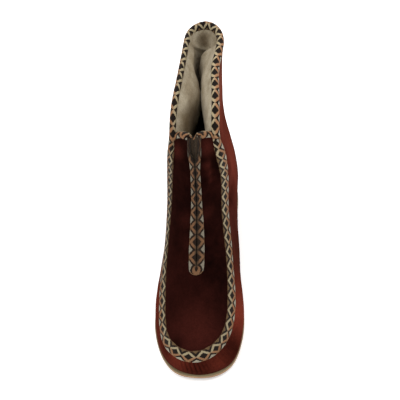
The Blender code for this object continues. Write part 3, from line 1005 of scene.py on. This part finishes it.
def fleece_vamp(slit, upper, material):
    """Pile inside the vamp, in two halves whose edges roll forward behind the slit."""
    edge = table(LINING_EDGE, EDGE_COLUMNS)
    lead = len(LINING_EDGE)
    parts, deep = [], []
    for side in (1, -1):
        grid, facing, downs = slit.half_rows(side, edge)
        nearest = np.argmin(((grid[:, -1:] - upper.top[None]) ** 2).sum(2), axis=1)
        seam = 1 - smooth_step(np.minimum(*edge_gap(grid)) / SEAM_PULL)
        facing = turned_towards(facing, upper.seam_facing[nearest][:, None], seam)
        pile = WALL - (WALL - SEAM_PILE) * seam
        pile[:, :lead] = edge["depth"]
        points = grid - facing * pile[..., None]
        points -= facing * (curls(points) * VAMP_CURLS)[..., None]
        open_rows = int(np.searchsorted(downs, slit.end)) + 1
        numbers = np.arange(seam.size).reshape(seam.shape)
        cells = [part.ravel()[grid_quads(part.shape, flip=side > 0)]
                 for part in (numbers[:open_rows, :lead + 1], numbers[:, lead:])]
        parts.append((points, np.vstack(cells)))
        # The rolled edge rows get painted shade, for the shade inside the slit and its mouth
        deep.append(np.tile(np.arange(seam.shape[1]) < lead, len(seam)))
    points, quads = joined(parts)
    return make_piece("fleece_vamp", points, quads, material, values={"deep": np.concatenate(deep)})


# Threads of the woven ribbon
THREADS = {
    "ground": "#150c06",
    "cream": "#ab9c7c",
    "tan": "#996f4e",
    "olive": "#6b5438",
    "white": "#a79e8b",
    "selvedge": "#4c3522",
    "rim": "#936e4c",
    # painted shade: the colour that shaded cells of the slit's and the throat's ribbon turn towards
    "dull": "#22170f",
}
DIAMOND_LONG = 6.7
DIAMOND_WIDE = 5.7
DIAMOND_ROUND = 1.15
DIAMOND_CORE = 0.6
CREAM_FADE = 3.0
# The ribbon's sides, outer first: sign, triangles' size along and across, their thread and the edge's
WEAVE_SIDES = (
    (1, 3.8, 3.0, "white", "rim"),
    (-1, 2.8, 2.3, "olive", "selvedge"),
)
REPEAT = 13.5
SELVEDGE = 0.5

# How far the loop's threads take painted shade, most on the vamp and more on the outer collar, and how far
# its weave slants, by rib
LOOP_COLUMNS = ("rib", "dull_inner", "dull_outer", "slant_inner", "slant_outer")
LOOP_WEAVE = (
    (0, 0.06, 0.1, 0, 0),
    (2, 0, 0.17, 0, 0),
    (5, 0, 0.17, 0, 0),
    (6, 0.13, 0.3, 0, 0),
    (6.5, 0.2, 0.37, 0.42, -0.52),
    (7, 0.24, 0.42, 0.6, -0.68),
    (7.5, 0.27, 0.45, 0.5, -0.56),
    (8, 0.3, 0.45, 0.36, -0.4),
    (8.5, 0.34, 0.42, 0.22, -0.26),
    (9.2, 0.33, 0.36, 0.06, -0.08),
    (9.6, 0.32, 0.34, 0, 0),
    (10.5, 0.31, 0.31, -0.14, 0.17),
    (11, 0.3, 0.3, -0.26, 0.32),
    (11.6, 0.28, 0.28, -0.34, 0.46),
    (12.1, 0.27, 0.27, -0.28, 0.42),
    (12.6, 0.25, 0.25, -0.14, 0.2),
    (13, 0.24, 0.24, 0, 0),
)


def thread(name):
    """Linear colour of a thread from its usual hexadecimal code."""
    values = [int(THREADS[name][i:i + 2], 16) / 255 for i in (1, 3, 5)]
    return np.array([v / 12.92 if v <= 0.04045 else ((v + 0.055) / 1.055) ** 2.4 for v in values])


def weave(long, wide):
    """Colour and float of each cell of the ribbon.

    long is the distance along from a diamond's centre and wide the distance across, above 0
    towards the sole: diamonds cream on the vamp's side and tan on the other, triangles between.
    """
    long, reach = np.abs(long), np.abs(wide)
    far, high = long / DIAMOND_LONG, reach / DIAMOND_WIDE
    band = (far ** DIAMOND_ROUND + high ** DIAMOND_ROUND < 1) & (far + high >= DIAMOND_CORE)
    mix = smooth_step(0.5 + wide / CREAM_FADE)[..., None]
    diamond = thread("cream") * (1 - mix) + thread("tan") * mix
    colours = np.where(band[..., None], diamond, thread("ground"))
    raised = band.copy()
    for sign, size_long, size_wide, fill, rim in WEAVE_SIDES:
        free = (wide * sign > 0) & ~band
        triangle = free & ((REPEAT / 2 - long) / size_long + (RIBBON_HALF - reach) / size_wide < 1)
        colours[triangle] = thread(fill)
        colours[free & ~triangle & (RIBBON_HALF - reach < SELVEDGE)] = thread(rim)
        raised |= triangle
    return colours, raised.astype(float)


def halfway(values, across=False):
    """Means of neighbours along a grid, or across it."""
    return halfway(values.T).T if across else (values[:-1] + values[1:]) / 2


def ribbon_piece(name, points, long, wide, material, closed, dull, towards):
    """A woven strip from its points [along, across], with one cell of the weave to each face.

    long and wide place each point on the weave; the threads take painted shade by turning a share of the
    way towards the colour of another thread.
    """
    long, dull = (np.broadcast_to(values, points.shape[:2]) for values in (long, dull))
    before, after = (long, np.roll(long, -1, axis=0)) if closed else (long[:-1], long[1:])
    step = np.median(np.abs(np.diff(long, axis=0)))
    middle = np.where(np.abs(after - before) < 3 * step, (before + after) / 2, before + step / 2)
    cell_long = (halfway(middle, across=True) / REPEAT + 0.5) % 1.0 * REPEAT - REPEAT / 2
    colours, raised = weave(cell_long, np.broadcast_to(halfway(wide), cell_long.shape))
    # painted shade on the threads
    share = dull[:len(colours), :-1, None]
    colours = colours * (1 - share) + thread(towards) * share
    ends, mode = ((1, 0), "wrap") if closed else ((1, 1), "edge")
    around = halfway(np.pad(raised, (ends, (0, 0)), mode=mode))
    around = halfway(np.pad(around, ((0, 0), (1, 1)), mode="edge"), across=True)
    points = points + grid_normals(points, closed) * (around * FLOAT_RISE)[..., None]
    uv = np.stack(np.meshgrid(np.arange(len(long)) * 0.5, wide, indexing="ij"), axis=-1)
    quads = grid_quads(points.shape, closed)
    return make_piece(name, points, quads, material, colours=colours.reshape(-1, 3), uv=uv)


def ribbon_loop(upper, material):
    """The ribbon that follows the vamp seam and wraps over the collar's rim, in one closed loop."""
    run, length = chord_knots(upper.top, closed=True)
    toe = run[(len(RIBS) - 1) * RING_STEPS]
    at = np.linspace(0.0, length, REPEATS * CELLS_LONG, endpoint=False)
    across = np.linspace(-1.0, 1.0, CELLS_WIDE + 1)
    controls = ring(run, upper.ribbon, at, length).transpose(1, 0, 2)
    strip = spline(np.linspace(-1.0, 1.0, len(controls)), controls, across).transpose(1, 0, 2)
    normals = grid_normals(strip, True)
    rise = RIBBON_EDGE_RISE + RIBBON_CROWN * (1 - across ** 2)
    ends = [strip[:, [i]] + normals[:, [i]] * RIBBON_SKIRT for i in (0, -1)]
    points = np.concatenate([ends[0], strip + normals * rise[:, None], ends[1]], axis=1)
    wide = np.concatenate([[-SKIRT_WIDE], across * RIBBON_HALF, [SKIRT_WIDE]])
    ribs = np.interp(at, run, upper.ribs, period=length)
    # painted shade and the weave's slant, by rib and side
    dull, slant = (by_side(table(LOOP_WEAVE, LOOP_COLUMNS), name, ribs, at <= toe)[:, None]
                   for name in ("dull", "slant"))
    long = ((at - toe) * (REPEATS * REPEAT / length) + PATTERN_SHIFT)[:, None] - slant * wide
    return ribbon_piece("ribbon_loop", points, long, wide, material, True, dull, "ground")


# Ribbon folded over the slit's edges: how far out its edge is, by the distance from the throat,
# and for its sides, inner 1 and outer -1, and its turn, 0, the painted shade on its fold and at its mouth
SLIT_TRIM_EDGE = ((0, 5.5), (15, 5.5), (24, 4.5), (33, 4), (60, 4.3), (72, 4.6), (84, 5.4),
                  (99, 6.1), (112, 6.6), (140, 6.6))
# Painted shade over the whole slit ribbon, on its fold and at its mouth
SLIT_PAINTED_SHADE = 0.54
FOLD_PAINTED_SHADE = 0.7
FOLD_REACH = {1: 2.0, 0: 1.2, -1: 1.2}
MOUTH_PAINTED_SHADE = {1: 0.62, 0: 0.0, -1: 0.9}
SLIT_TRIM_RISE = 1.15
SLIT_TRIM_ROUND = 0.2
SLIT_TRIM_FALL = 0.5
SLIT_TRIM_COLUMNS = 13
TRIM_SKIRT = 0.5
TRIM_SKIRT_OUT = 0.05
SLIT_STEP = 0.5
TURN_CELLS = 30
INSIDE_STEPS = (1.0, 0.72, 0.45, 0.2)
INSIDE_WIDE = (-5.0, -3.6, -2.2, -1.0)
INSIDE_LEAN = 0.25
SLIT_INSIDE = 3.2
# how far below the mouth its painted shade fades
MOUTH_SHADE_FADE = 9.0
SLIT_PHASE = 5.8
SLIT_STRETCH = 1.031
SLIT_TAIL = 0.3
SLIT_BLUR = 2.0


def slit_trim(slit, upper, material):
    """Ribbon folded over the slit's edges: down one side, round its end and up the other side."""
    visible = np.linspace(0.0, 1.0, SLIT_TRIM_COLUMNS)
    downs = np.linspace(0.0, slit.end, int(slit.end / SLIT_STEP))
    stations = [(1, down, None) for down in downs]
    stations += [(0, slit.end, turn) for turn in np.linspace(0.0, math.pi, TURN_CELLS + 2)[1:-1]]
    stations += [(-1, down, None) for down in downs[::-1]]
    centre, below, beside = (slit.place(slit.end + down, SLIT_X + x)[0]
                             for down, x in ((0, 0), (2, 0), (0, 2)))
    toeward, rightward = unit(below - centre), unit(beside - centre)
    dome = np.sqrt(1 - (1 - np.clip(visible / SLIT_TRIM_ROUND, 0.0, 1.0)) ** 2)
    rise = (SLIT_TRIM_RISE * dome - SLIT_TRIM_FALL * visible ** 2)[:, None]
    rows, long = [], []
    for side, down, turn in stations:
        gap = slit.half_gap(down)
        width = np.interp(down, *np.array(SLIT_TRIM_EDGE).T) - gap
        if turn is None:
            surface, normals = slit.line(down, SLIT_X + side * (gap + visible * width))
            outward = unit(surface[-1] - surface[0])
            long.append(side * ((slit.end - down) / SLIT_STRETCH + SLIT_PHASE))
        else:
            outward = math.cos(turn) * rightward + math.sin(turn) * toeward
            width *= 1 + SLIT_TAIL * math.sin(turn)
            surface, normals = snapped(upper.vamp_tree, centre + outward * (visible * width)[:, None])
            long.append(SLIT_PHASE * (1 - 2 * turn / math.pi))
        inside = [surface[0] + (outward * INSIDE_LEAN - normals[0] * SLIT_INSIDE) * k for k in INSIDE_STEPS]
        skirt = surface[-1] - normals[-1] * TRIM_SKIRT + outward * TRIM_SKIRT_OUT
        rows.append(np.vstack([inside, surface + normals * rise, skirt]))
    points = blurred(np.array(rows), SLIT_BLUR, closed=False)
    wide = np.array([*INSIDE_WIDE, *(visible * RIBBON_HALF), SKIRT_WIDE])
    sides, downs = (np.array([station[k] for station in stations])[:, None] for k in range(2))
    # painted shade: over the whole ribbon, on its fold, and at the slit's mouth
    mouth, reach = (np.vectorize(shares.get)(sides) for shares in (MOUTH_PAINTED_SHADE, FOLD_REACH))
    mouth = mouth * (1 - ramp(downs, MOUTH_STRAIGHT, MOUTH_SHADE_FADE))
    fold = FOLD_PAINTED_SHADE * bell(np.clip(wide, 0.0, None), 0.0, reach)
    dull = 1 - (1 - SLIT_PAINTED_SHADE) * (1 - mouth) * (1 - fold)
    return ribbon_piece("ribbon_slit", points, np.array(long)[:, None], wide, material, False, dull, "dull")


# Section of the ribbon folded over the throat edge: down the vamp, and out from its outer face
THROAT_SECTION = ((4, -6), (2.6, -6.3), (0.9, -6.2), (-0.4, -5.6), (-1, -4.4), (-1.2, -2.9),
                  (-1, -1.3), (-0.4, 0.2), (0.7, 0.95), (1.9, 1.1), (3.1, 0.85), (3.7, 0.4), (3.75, -0.5))
THROAT_ENDS = (20.5, -22.5)
THROAT_CELLS = 22
THROAT_PATTERN = 1.6
# Painted shade on the throat's ribbon
THROAT_PAINTED_SHADE = 0.3
THROAT_BLUR = 1.5
THROAT_MIDDLE = 0.46
THROAT_SINK = 1.5
THROAT_PHASE = 2.0

# How the throat's ribbon dips behind the slit's mouth: by the distance from the slit, how far it
# drops, how far it goes in, and how much of its size is left
DIP_COLUMNS = ("aside", "drop", "inward", "size")
THROAT_DIP = (
    (0, 0.4, 3, 0.45),
    (3.8, 0.4, 2.8, 0.5),
    (5.4, 0.2, 0.5, 0.9),
    (7, 0, 0, 1),
    (30, 0, 0, 1),
)


def throat_trim(slit, material):
    """Ribbon folded over the throat edge, dipping behind the slit's mouth."""
    section = np.array(THROAT_SECTION)
    knots, reach = chord_knots(section)
    at = np.linspace(0.0, reach, THROAT_CELLS + 1)
    rows = table(THROAT_DIP, DIP_COLUMNS)
    start, stop = THROAT_ENDS
    xs = np.linspace(start, stop, int((start - stop) / SLIT_STEP))
    drop, inward, size = (np.interp(np.abs(xs - SLIT_X), rows["aside"], rows[name])[:, None]
                          for name in DIP_COLUMNS[1:])
    top, normals = slit.line(0.0, xs)
    downward = unit(slit.line(3.0, xs)[0] - top)
    path = top + downward * drop - normals * inward
    shape = spline(knots, section, at)[None] * size[..., None]
    shape[..., 1] -= (1 - size) * THROAT_SINK
    points = path[:, None] + shape[..., :1] * downward[:, None] + shape[..., 1:] * normals[:, None]
    points = blurred(points, THROAT_BLUR, closed=False)
    wide = (at / reach - THROAT_MIDDLE) / (1 - THROAT_MIDDLE) * RIBBON_HALF
    long = ((xs - SLIT_X) * THROAT_PATTERN + THROAT_PHASE)[:, None]
    return ribbon_piece("ribbon_throat", points, long, wide, material, False, THROAT_PAINTED_SHADE, "dull")


# Rings of an edge seen from the side: how far it is drawn in, and how high it is as a share
OUTSOLE_EDGE = ((3, 1), (1.2, 1), (0.5, 0.97), (0.1, 0.89), (0, 0.8), (0.05, 0.735), (0.35, 0.71),
                (0.05, 0.685), (0, 0.62), (0, 0.5), (0, 0.38), (0.05, 0.285), (0.3, 0.26),
                (0.1, 0.235), (0.15, 0.15), (0.45, 0.05), (1.1, 0), (5, 0), (5.6, 0.11), (6.2, 0),
                (8, 0))
HEEL_EDGE = ((1.6, 1), (0.1, 1), (0, 0.97), (0.35, 0.7), (0.5, 0.655), (0.85, 0.64), (0.55, 0.625),
             (0.7, 0.5), (0.95, 0.34), (1.3, 0.325), (1, 0.31), (1.1, 0.2), (1.3, 0.06), (2.1, 0),
             (3.4, 0))
INSOLE_EDGE = ((3, 0.9), (1.2, 0.86), (0.3, 0.66), (0, 0.4), (0.3, 0.12), (1.2, 0), (3, 0))
HEEL_CORNER = 5.0
SOLE_SPACING = 5.0
PAD_SPACING = 1.5
ROW_RATIO = 0.866
EDGE_CLEAR = 0.6
BREAST_POINTS = 30
HEEL_BLUR = 1.8
HEEL_GAP = 0.02


def filled(outline, spacing):
    """Points and triangles that fill a flat outline."""
    low, high = outline.min(axis=0), outline.max(axis=0)
    xs, ys = np.meshgrid(np.arange(low[0], high[0], spacing), np.arange(low[1], high[1], spacing * ROW_RATIO))
    xs = xs + (np.arange(len(xs)) % 2 * spacing / 2)[:, None]
    inner = np.column_stack([xs.ravel(), ys.ravel()])
    gap = np.array([np.hypot(*(outline - p).T).min() for p in inner])
    points = np.vstack([outline, inner[gap > spacing * EDGE_CLEAR]])
    edges = [(i, (i + 1) % len(outline)) for i in range(len(outline))]
    result = delaunay_2d_cdt([Vector(p) for p in points], edges, [], 1, 1e-7)
    return np.array(result[0]), [list(face) for face in result[2]]


def slab(name, line, edge, low, high, material, spacing=SOLE_SPACING, pile=None):
    """A flat piece with a shaped edge between two heights, which may change along the boot."""
    def raised(flat, share):
        return np.column_stack([flat, low(flat[:, 1]) + (high(flat[:, 1]) - low(flat[:, 1])) * share])

    grid = np.stack([raised(line - drawn * outward_of(line), share) for drawn, share in edge], axis=1)
    points = [grid.reshape(-1, 3)]
    faces = grid_quads(grid.shape, True).tolist()
    level = [np.tile([share for drawn, share in edge], len(line))]
    for at, order in ((0, 1), (-1, -1)):
        flat, triangles = filled(grid[:, at, :2], spacing)
        start = sum(map(len, points))
        points.append(raised(flat, edge[at][1]))
        level.append(np.full(len(flat), edge[at][1]))
        faces += [[start + i for i in face[::order]] for face in triangles]
    points, level = np.vstack(points), np.concatenate(level)
    if pile is not None:
        points[:, 2] += pile(points) * level
    return make_piece(name, points, faces, material, values={"level": level}, weld=True)


def heel_line():
    """The heel's outline: the sole's edge behind the breast line, with the corners rounded."""
    back = np.roll(dense_outline(HEEL_INSET)[0], OUTLINE_POINTS // 2, axis=0)
    back = back[back[:, 1] > HEEL_BREAST_Y]
    points = np.vstack([back, np.linspace(back[-1], back[0], BREAST_POINTS)[1:]])
    knots, length = chord_knots(points)
    line = read(np.linspace(0.0, length, OUTLINE_POINTS // 2, endpoint=False), knots, points)
    corner = bell(line[:, 1], HEEL_BREAST_Y, HEEL_CORNER)[:, None]
    return line * (1 - corner) + blurred(line, HEEL_BLUR) * corner


def soles(materials):
    """Outsole, heel and the fleece pad of the insole."""
    outsole = slab("outsole_edged", dense_outline()[0], OUTSOLE_EDGE, sole_under, sole_top,
                   materials["outsole"])
    heel = slab("heel_lift", heel_line(), HEEL_EDGE, np.zeros_like,
                lambda y: np.full_like(y, HEEL_LIFT - HEEL_GAP), materials["heel"])
    pad = slab("insole_fleece", dense_outline(LEDGE + WALL + SIDE_GAP)[0], INSOLE_EDGE,
               lambda y: sole_top(y) + SEAT_GAP, lambda y: sole_top(y) + SEAT_GAP + INSOLE_THICKNESS,
               materials["fleece"], spacing=PAD_SPACING, pile=curls)
    for piece, node in ((outsole, "outsole"), (heel, "heel"), (pad, "insole")):
        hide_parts(node)


class Shader:
    """A node material under construction."""

    def __init__(self, name, **sockets):
        self.material = bpy.data.materials.new(name)
        self.material.use_nodes = True
        self.tree = self.material.node_tree
        self.surface = self.tree.nodes["Principled BSDF"]
        for key, value in sockets.items():
            self.surface.inputs[key.replace("_", " ")].default_value = value

    def node(self, kind, links, **settings):
        """A node with its settings, and the sockets that feed it or the numbers on them."""
        made = self.tree.nodes.new(kind)
        for key, value in settings.items():
            setattr(made, key, value)
        for key, value in links.items():
            if isinstance(value, bpy.types.NodeSocket):
                self.tree.links.new(value, made.inputs[key])
            else:
                made.inputs[key].default_value = value
        return made

    def noise(self, size, detail, roughness):
        """Noise from 0 to 1 with features of a size in millimetres."""
        place = self.node("ShaderNodeTexCoord", {}).outputs["Object"]
        links = {"Vector": place, "Scale": 1 / (size * MM), "Detail": detail, "Roughness": roughness}
        return self.node("ShaderNodeTexNoise", links).outputs["Fac"]

    def ramp(self, value, low, high, to=(0.0, 1.0)):
        """A value mapped from low..high to another range, and held there."""
        links = {"Value": value, "From Min": low, "From Max": high, "To Min": to[0], "To Max": to[1]}
        return self.node("ShaderNodeMapRange", links).outputs["Result"]

    def mix(self, share, *colours, blend="MIX"):
        """Two colours mixed; each is a socket or a linear colour."""
        first, second = (c if isinstance(c, bpy.types.NodeSocket) else (*c, 1.0) for c in colours)
        links = {0: share, 6: first, 7: second}
        return self.node("ShaderNodeMix", links, data_type="RGBA", blend_type=blend).outputs[2]

    def patches(self, noise, high, *colours):
        """Two colours in soft patches."""
        return self.mix(self.ramp(self.noise(*noise), 0.35, high), *colours)

    def attribute(self, name, output="Fac"):
        return self.node("ShaderNodeAttribute", {}, attribute_name=name).outputs[output]

    def colour(self, socket):
        self.tree.links.new(socket, self.surface.inputs["Base Color"])

    def finish(self, colour, noise, high, shares, height, strength, distance):
        """The material, its colour darker and lighter by shares in a fine noise, with a bumped face."""
        fine = self.ramp(self.noise(*noise), 0.3, high, shares)
        self.colour(self.mix(1.0, colour, fine, blend="MULTIPLY"))
        height = self.noise(*height) if isinstance(height, tuple) else height
        links = {"Height": height, "Strength": strength, "Distance": distance * MM}
        made = self.node("ShaderNodeBump", links)
        self.tree.links.new(made.outputs["Normal"], self.surface.inputs["Normal"])
        return self.material


def velvet_material(name, flat, raised, sheen, low):
    """Short napped velvet: darker or redder by a tone attribute, partly its own unevenness and partly painted
    highlight and painted shade; a second attribute mixes in a pale painted highlight.
    """
    shader = Shader(name, Roughness=0.95, Sheen_Weight=sheen, Sheen_Roughness=0.4,
                    Sheen_Tint=(0.7, 0.2, 0.14, 1.0), Specular_IOR_Level=0.0)
    colour = shader.mix(shader.ramp(shader.attribute("nap_and_painted_light"), low, 1.0), flat, raised)
    # pale painted highlight, a sheen, mixed in where the second attribute asks
    colour = shader.mix(shader.attribute("painted_highlight"), colour, (0.23, 0.08, 0.052))
    return shader.finish(colour, (1.3, 3.0, 0.7), 0.7, (0.75, 1.25), (0.55, 2.0, 0.6), 0.35, 0.25)


def ribbon_material():
    """Woven ribbon: threads coloured face by face, with the weft's fine ribs."""
    shader = Shader("ribbon", Roughness=0.85, Sheen_Weight=0.03, Specular_IOR_Level=0.12)
    uv = shader.node("ShaderNodeTexCoord", {}).outputs["UV"]
    links = {"Vector": uv, "Scale": 0.5, "Distortion": 0.6, "Detail": 1.0, "Detail Scale": 3.0}
    ribs = shader.node("ShaderNodeTexWave", links, bands_direction="X")
    threads = shader.attribute("threads", "Color")
    return shader.finish(threads, (0.9, 3.0, 0.7), 0.7, (0.82, 1.15), ribs.outputs["Fac"], 0.5, 0.2)


def fleece_material():
    """Cream curly pile, mottled in a fine noise, browner at the back above the facing, with painted shade
    deep inside, under the facing, on its sides and behind the slit.
    """
    shader = Shader("fleece", Roughness=0.95, Sheen_Weight=0.12, Sheen_Roughness=0.5,
                    Sheen_Tint=(0.9, 0.8, 0.66, 1.0), Specular_IOR_Level=0.1)
    soft = shader.patches((14.0, 3.0, 0.6), 0.65, (0.325, 0.267, 0.18), (0.49, 0.427, 0.317))
    # painted shade of the pile's depths, under the facing and on its sides, with the browner back above the
    # facing; then painted shade on the lining's edge behind the slit
    soft = shader.mix(shader.attribute("brown"), soft, (0.08, 0.046, 0.014))
    soft = shader.mix(shader.attribute("deep"), soft, (0.045, 0.03, 0.019))
    return shader.finish(soft, (1.1, 4.0, 0.75), 0.7, (0.7, 1.2), (0.9, 3.0, 0.7), 0.6, 0.5)


def outsole_material():
    """Sole edge in three layers, and a scuffed brown underside."""
    shader = Shader("outsole_edge", Roughness=0.62, Specular_IOR_Level=0.35)
    level = shader.attribute("level")
    colour = shader.patches((7.0, 4.0, 0.6), 0.7, (0.40, 0.25, 0.125), (0.30, 0.18, 0.09))
    colour = shader.mix(shader.ramp(level, 0.70, 0.72), colour, (0.17, 0.125, 0.062))
    colour = shader.mix(shader.ramp(level, 0.27, 0.25), colour, (0.25, 0.075, 0.032))
    under = shader.patches((18.0, 4.0, 0.6), 0.65, (0.10, 0.055, 0.028), (0.15, 0.085, 0.045))
    colour = shader.mix(shader.ramp(level, 0.1, 0.0), colour, under)
    return shader.finish(colour, (0.8, 3.0, 0.7), 0.7, (0.82, 1.15), (0.6, 3.0, 0.6), 0.35, 0.2)


def heel_material():
    """Heel lift of dark brown rubber with fine specks."""
    shader = Shader("heel_rubber", Roughness=0.7, Specular_IOR_Level=0.35)
    base = shader.patches((11.0, 3.0, 0.6), 0.65, (0.060, 0.036, 0.022), (0.095, 0.058, 0.036))
    return shader.finish(base, (0.7, 3.0, 0.75), 0.75, (0.7, 1.35), (0.5, 2.0, 0.6), 0.4, 0.2)


# Camera: its place and aim in millimetres, its roll in degrees, and a lens for the photograph's width
CAMERA_PLACE = (79.2, -591.4, 750.9)
CAMERA_AIM = (0.0, -0.4, 100.0)
CAMERA_ROLL = -4.17
CAMERA_LENS = 87.3

# Soft lights: place, size and power of each
LIGHT_COLUMNS = ("x", "y", "z", "size", "power")
LIGHTS = (
    (-600, -500, 1300, 900, 10),
    (900, 100, 1100, 900, 8),
    (-200, 1100, 900, 800, 6),
)
WORLD_STRENGTH = 0.6
FLOOR_SIZE = 12.0
FLOOR_GLOW = 0.34


def add_object(name, data):
    made = bpy.data.objects.new(name, data)
    bpy.context.scene.collection.objects.link(made)
    return made


def add_camera():
    place = Vector(CAMERA_PLACE) * MM
    forward = (Vector(CAMERA_AIM) * MM - place).normalized()
    level = forward.cross(Vector((0.0, 0.0, 1.0))).normalized()
    roll = math.radians(CAMERA_ROLL)
    right = level * math.cos(roll) + level.cross(forward) * math.sin(roll)
    camera = add_object("camera", bpy.data.cameras.new("camera"))
    camera.data.lens = CAMERA_LENS
    turned = Matrix((right, right.cross(forward), -forward)).transposed().to_4x4()
    camera.matrix_world = Matrix.Translation(place) @ turned
    bpy.context.scene.camera = camera


def add_lights():
    for i, row in enumerate(records(LIGHTS, LIGHT_COLUMNS)):
        light = add_object("soft_light_" + str(i), bpy.data.lights.new("soft_light", "AREA"))
        light.data.shape = "DISK"
        light.data.size = row["size"] * MM
        light.data.energy = row["power"]
        light.location = Vector([row[axis] for axis in "xyz"]) * MM
        aim = Vector(CAMERA_AIM) * MM - light.location
        light.rotation_euler = aim.to_track_quat("-Z", "Y").to_euler()
    world = bpy.data.worlds.new("studio")
    world.use_nodes = True
    background = world.node_tree.nodes["Background"]
    background.inputs["Color"].default_value = (1.0, 1.0, 1.0, 1.0)
    background.inputs["Strength"].default_value = WORLD_STRENGTH
    bpy.context.scene.world = world


def add_floor():
    shader = Shader("floor", Roughness=0.9, Specular_IOR_Level=0.0, Emission_Strength=FLOOR_GLOW,
                    Emission_Color=(1.0, 1.0, 1.0, 1.0))
    grain = shader.ramp(shader.noise(900.0, 2.0, 0.5), 0.3, 0.7)
    shader.colour(shader.mix(grain, (0.92, 0.92, 0.915), (0.94, 0.94, 0.935)))
    mesh = bpy.data.meshes.new("floor")
    corners = [(x * FLOOR_SIZE / 2, y * FLOOR_SIZE / 2, 0.0) for x, y in ((-1, -1), (1, -1), (1, 1), (-1, 1))]
    mesh.from_pydata(corners, [], [range(4)])
    mesh.materials.append(shader.material)
    add_object("floor", mesh)


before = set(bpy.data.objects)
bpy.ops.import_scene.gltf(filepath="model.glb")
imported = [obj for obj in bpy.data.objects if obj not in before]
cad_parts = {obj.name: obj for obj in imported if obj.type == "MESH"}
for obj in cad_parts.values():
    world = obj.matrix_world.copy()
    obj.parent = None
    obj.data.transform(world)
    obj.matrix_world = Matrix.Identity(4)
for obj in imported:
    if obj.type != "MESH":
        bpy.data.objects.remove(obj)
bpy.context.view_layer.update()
bpy.context.scene.view_settings.view_transform = "Standard"
# The velvet in two copies of one cloth: the vamp's darker shaded copy, and the wall's lighter, redder lit
# copy whose colour stands for the sheen of its grazing sides as painted highlight
materials = {
    "dark": velvet_material("velvet_shaded_copy", (0.0022, 0.001, 0.0009), (0.054, 0.011, 0.0078), 0.06, -0.12),
    "lit_velvet": velvet_material("velvet_lit_copy", (0.008, 0.0018, 0.0013), (0.135, 0.0235, 0.0135), 0.11, -0.15),
    "ribbon": ribbon_material(),
    "fleece": fleece_material(),
    "outsole": outsole_material(),
    "heel": heel_material(),
}
upper = Upper()
slit = Slit(upper)
wall_piece = velvet_wall(upper, materials["lit_velvet"])
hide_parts("upper")
velvet_vamp(slit, materials["dark"])
fleece_wall(upper, materials["fleece"])
fleece_vamp(slit, upper, materials["fleece"])
ribbon_loop(upper, materials["ribbon"])
slit_trim(slit, upper, materials["ribbon"])
throat_trim(slit, materials["ribbon"])
soles(materials)
add_camera()
add_lights()
add_floor()
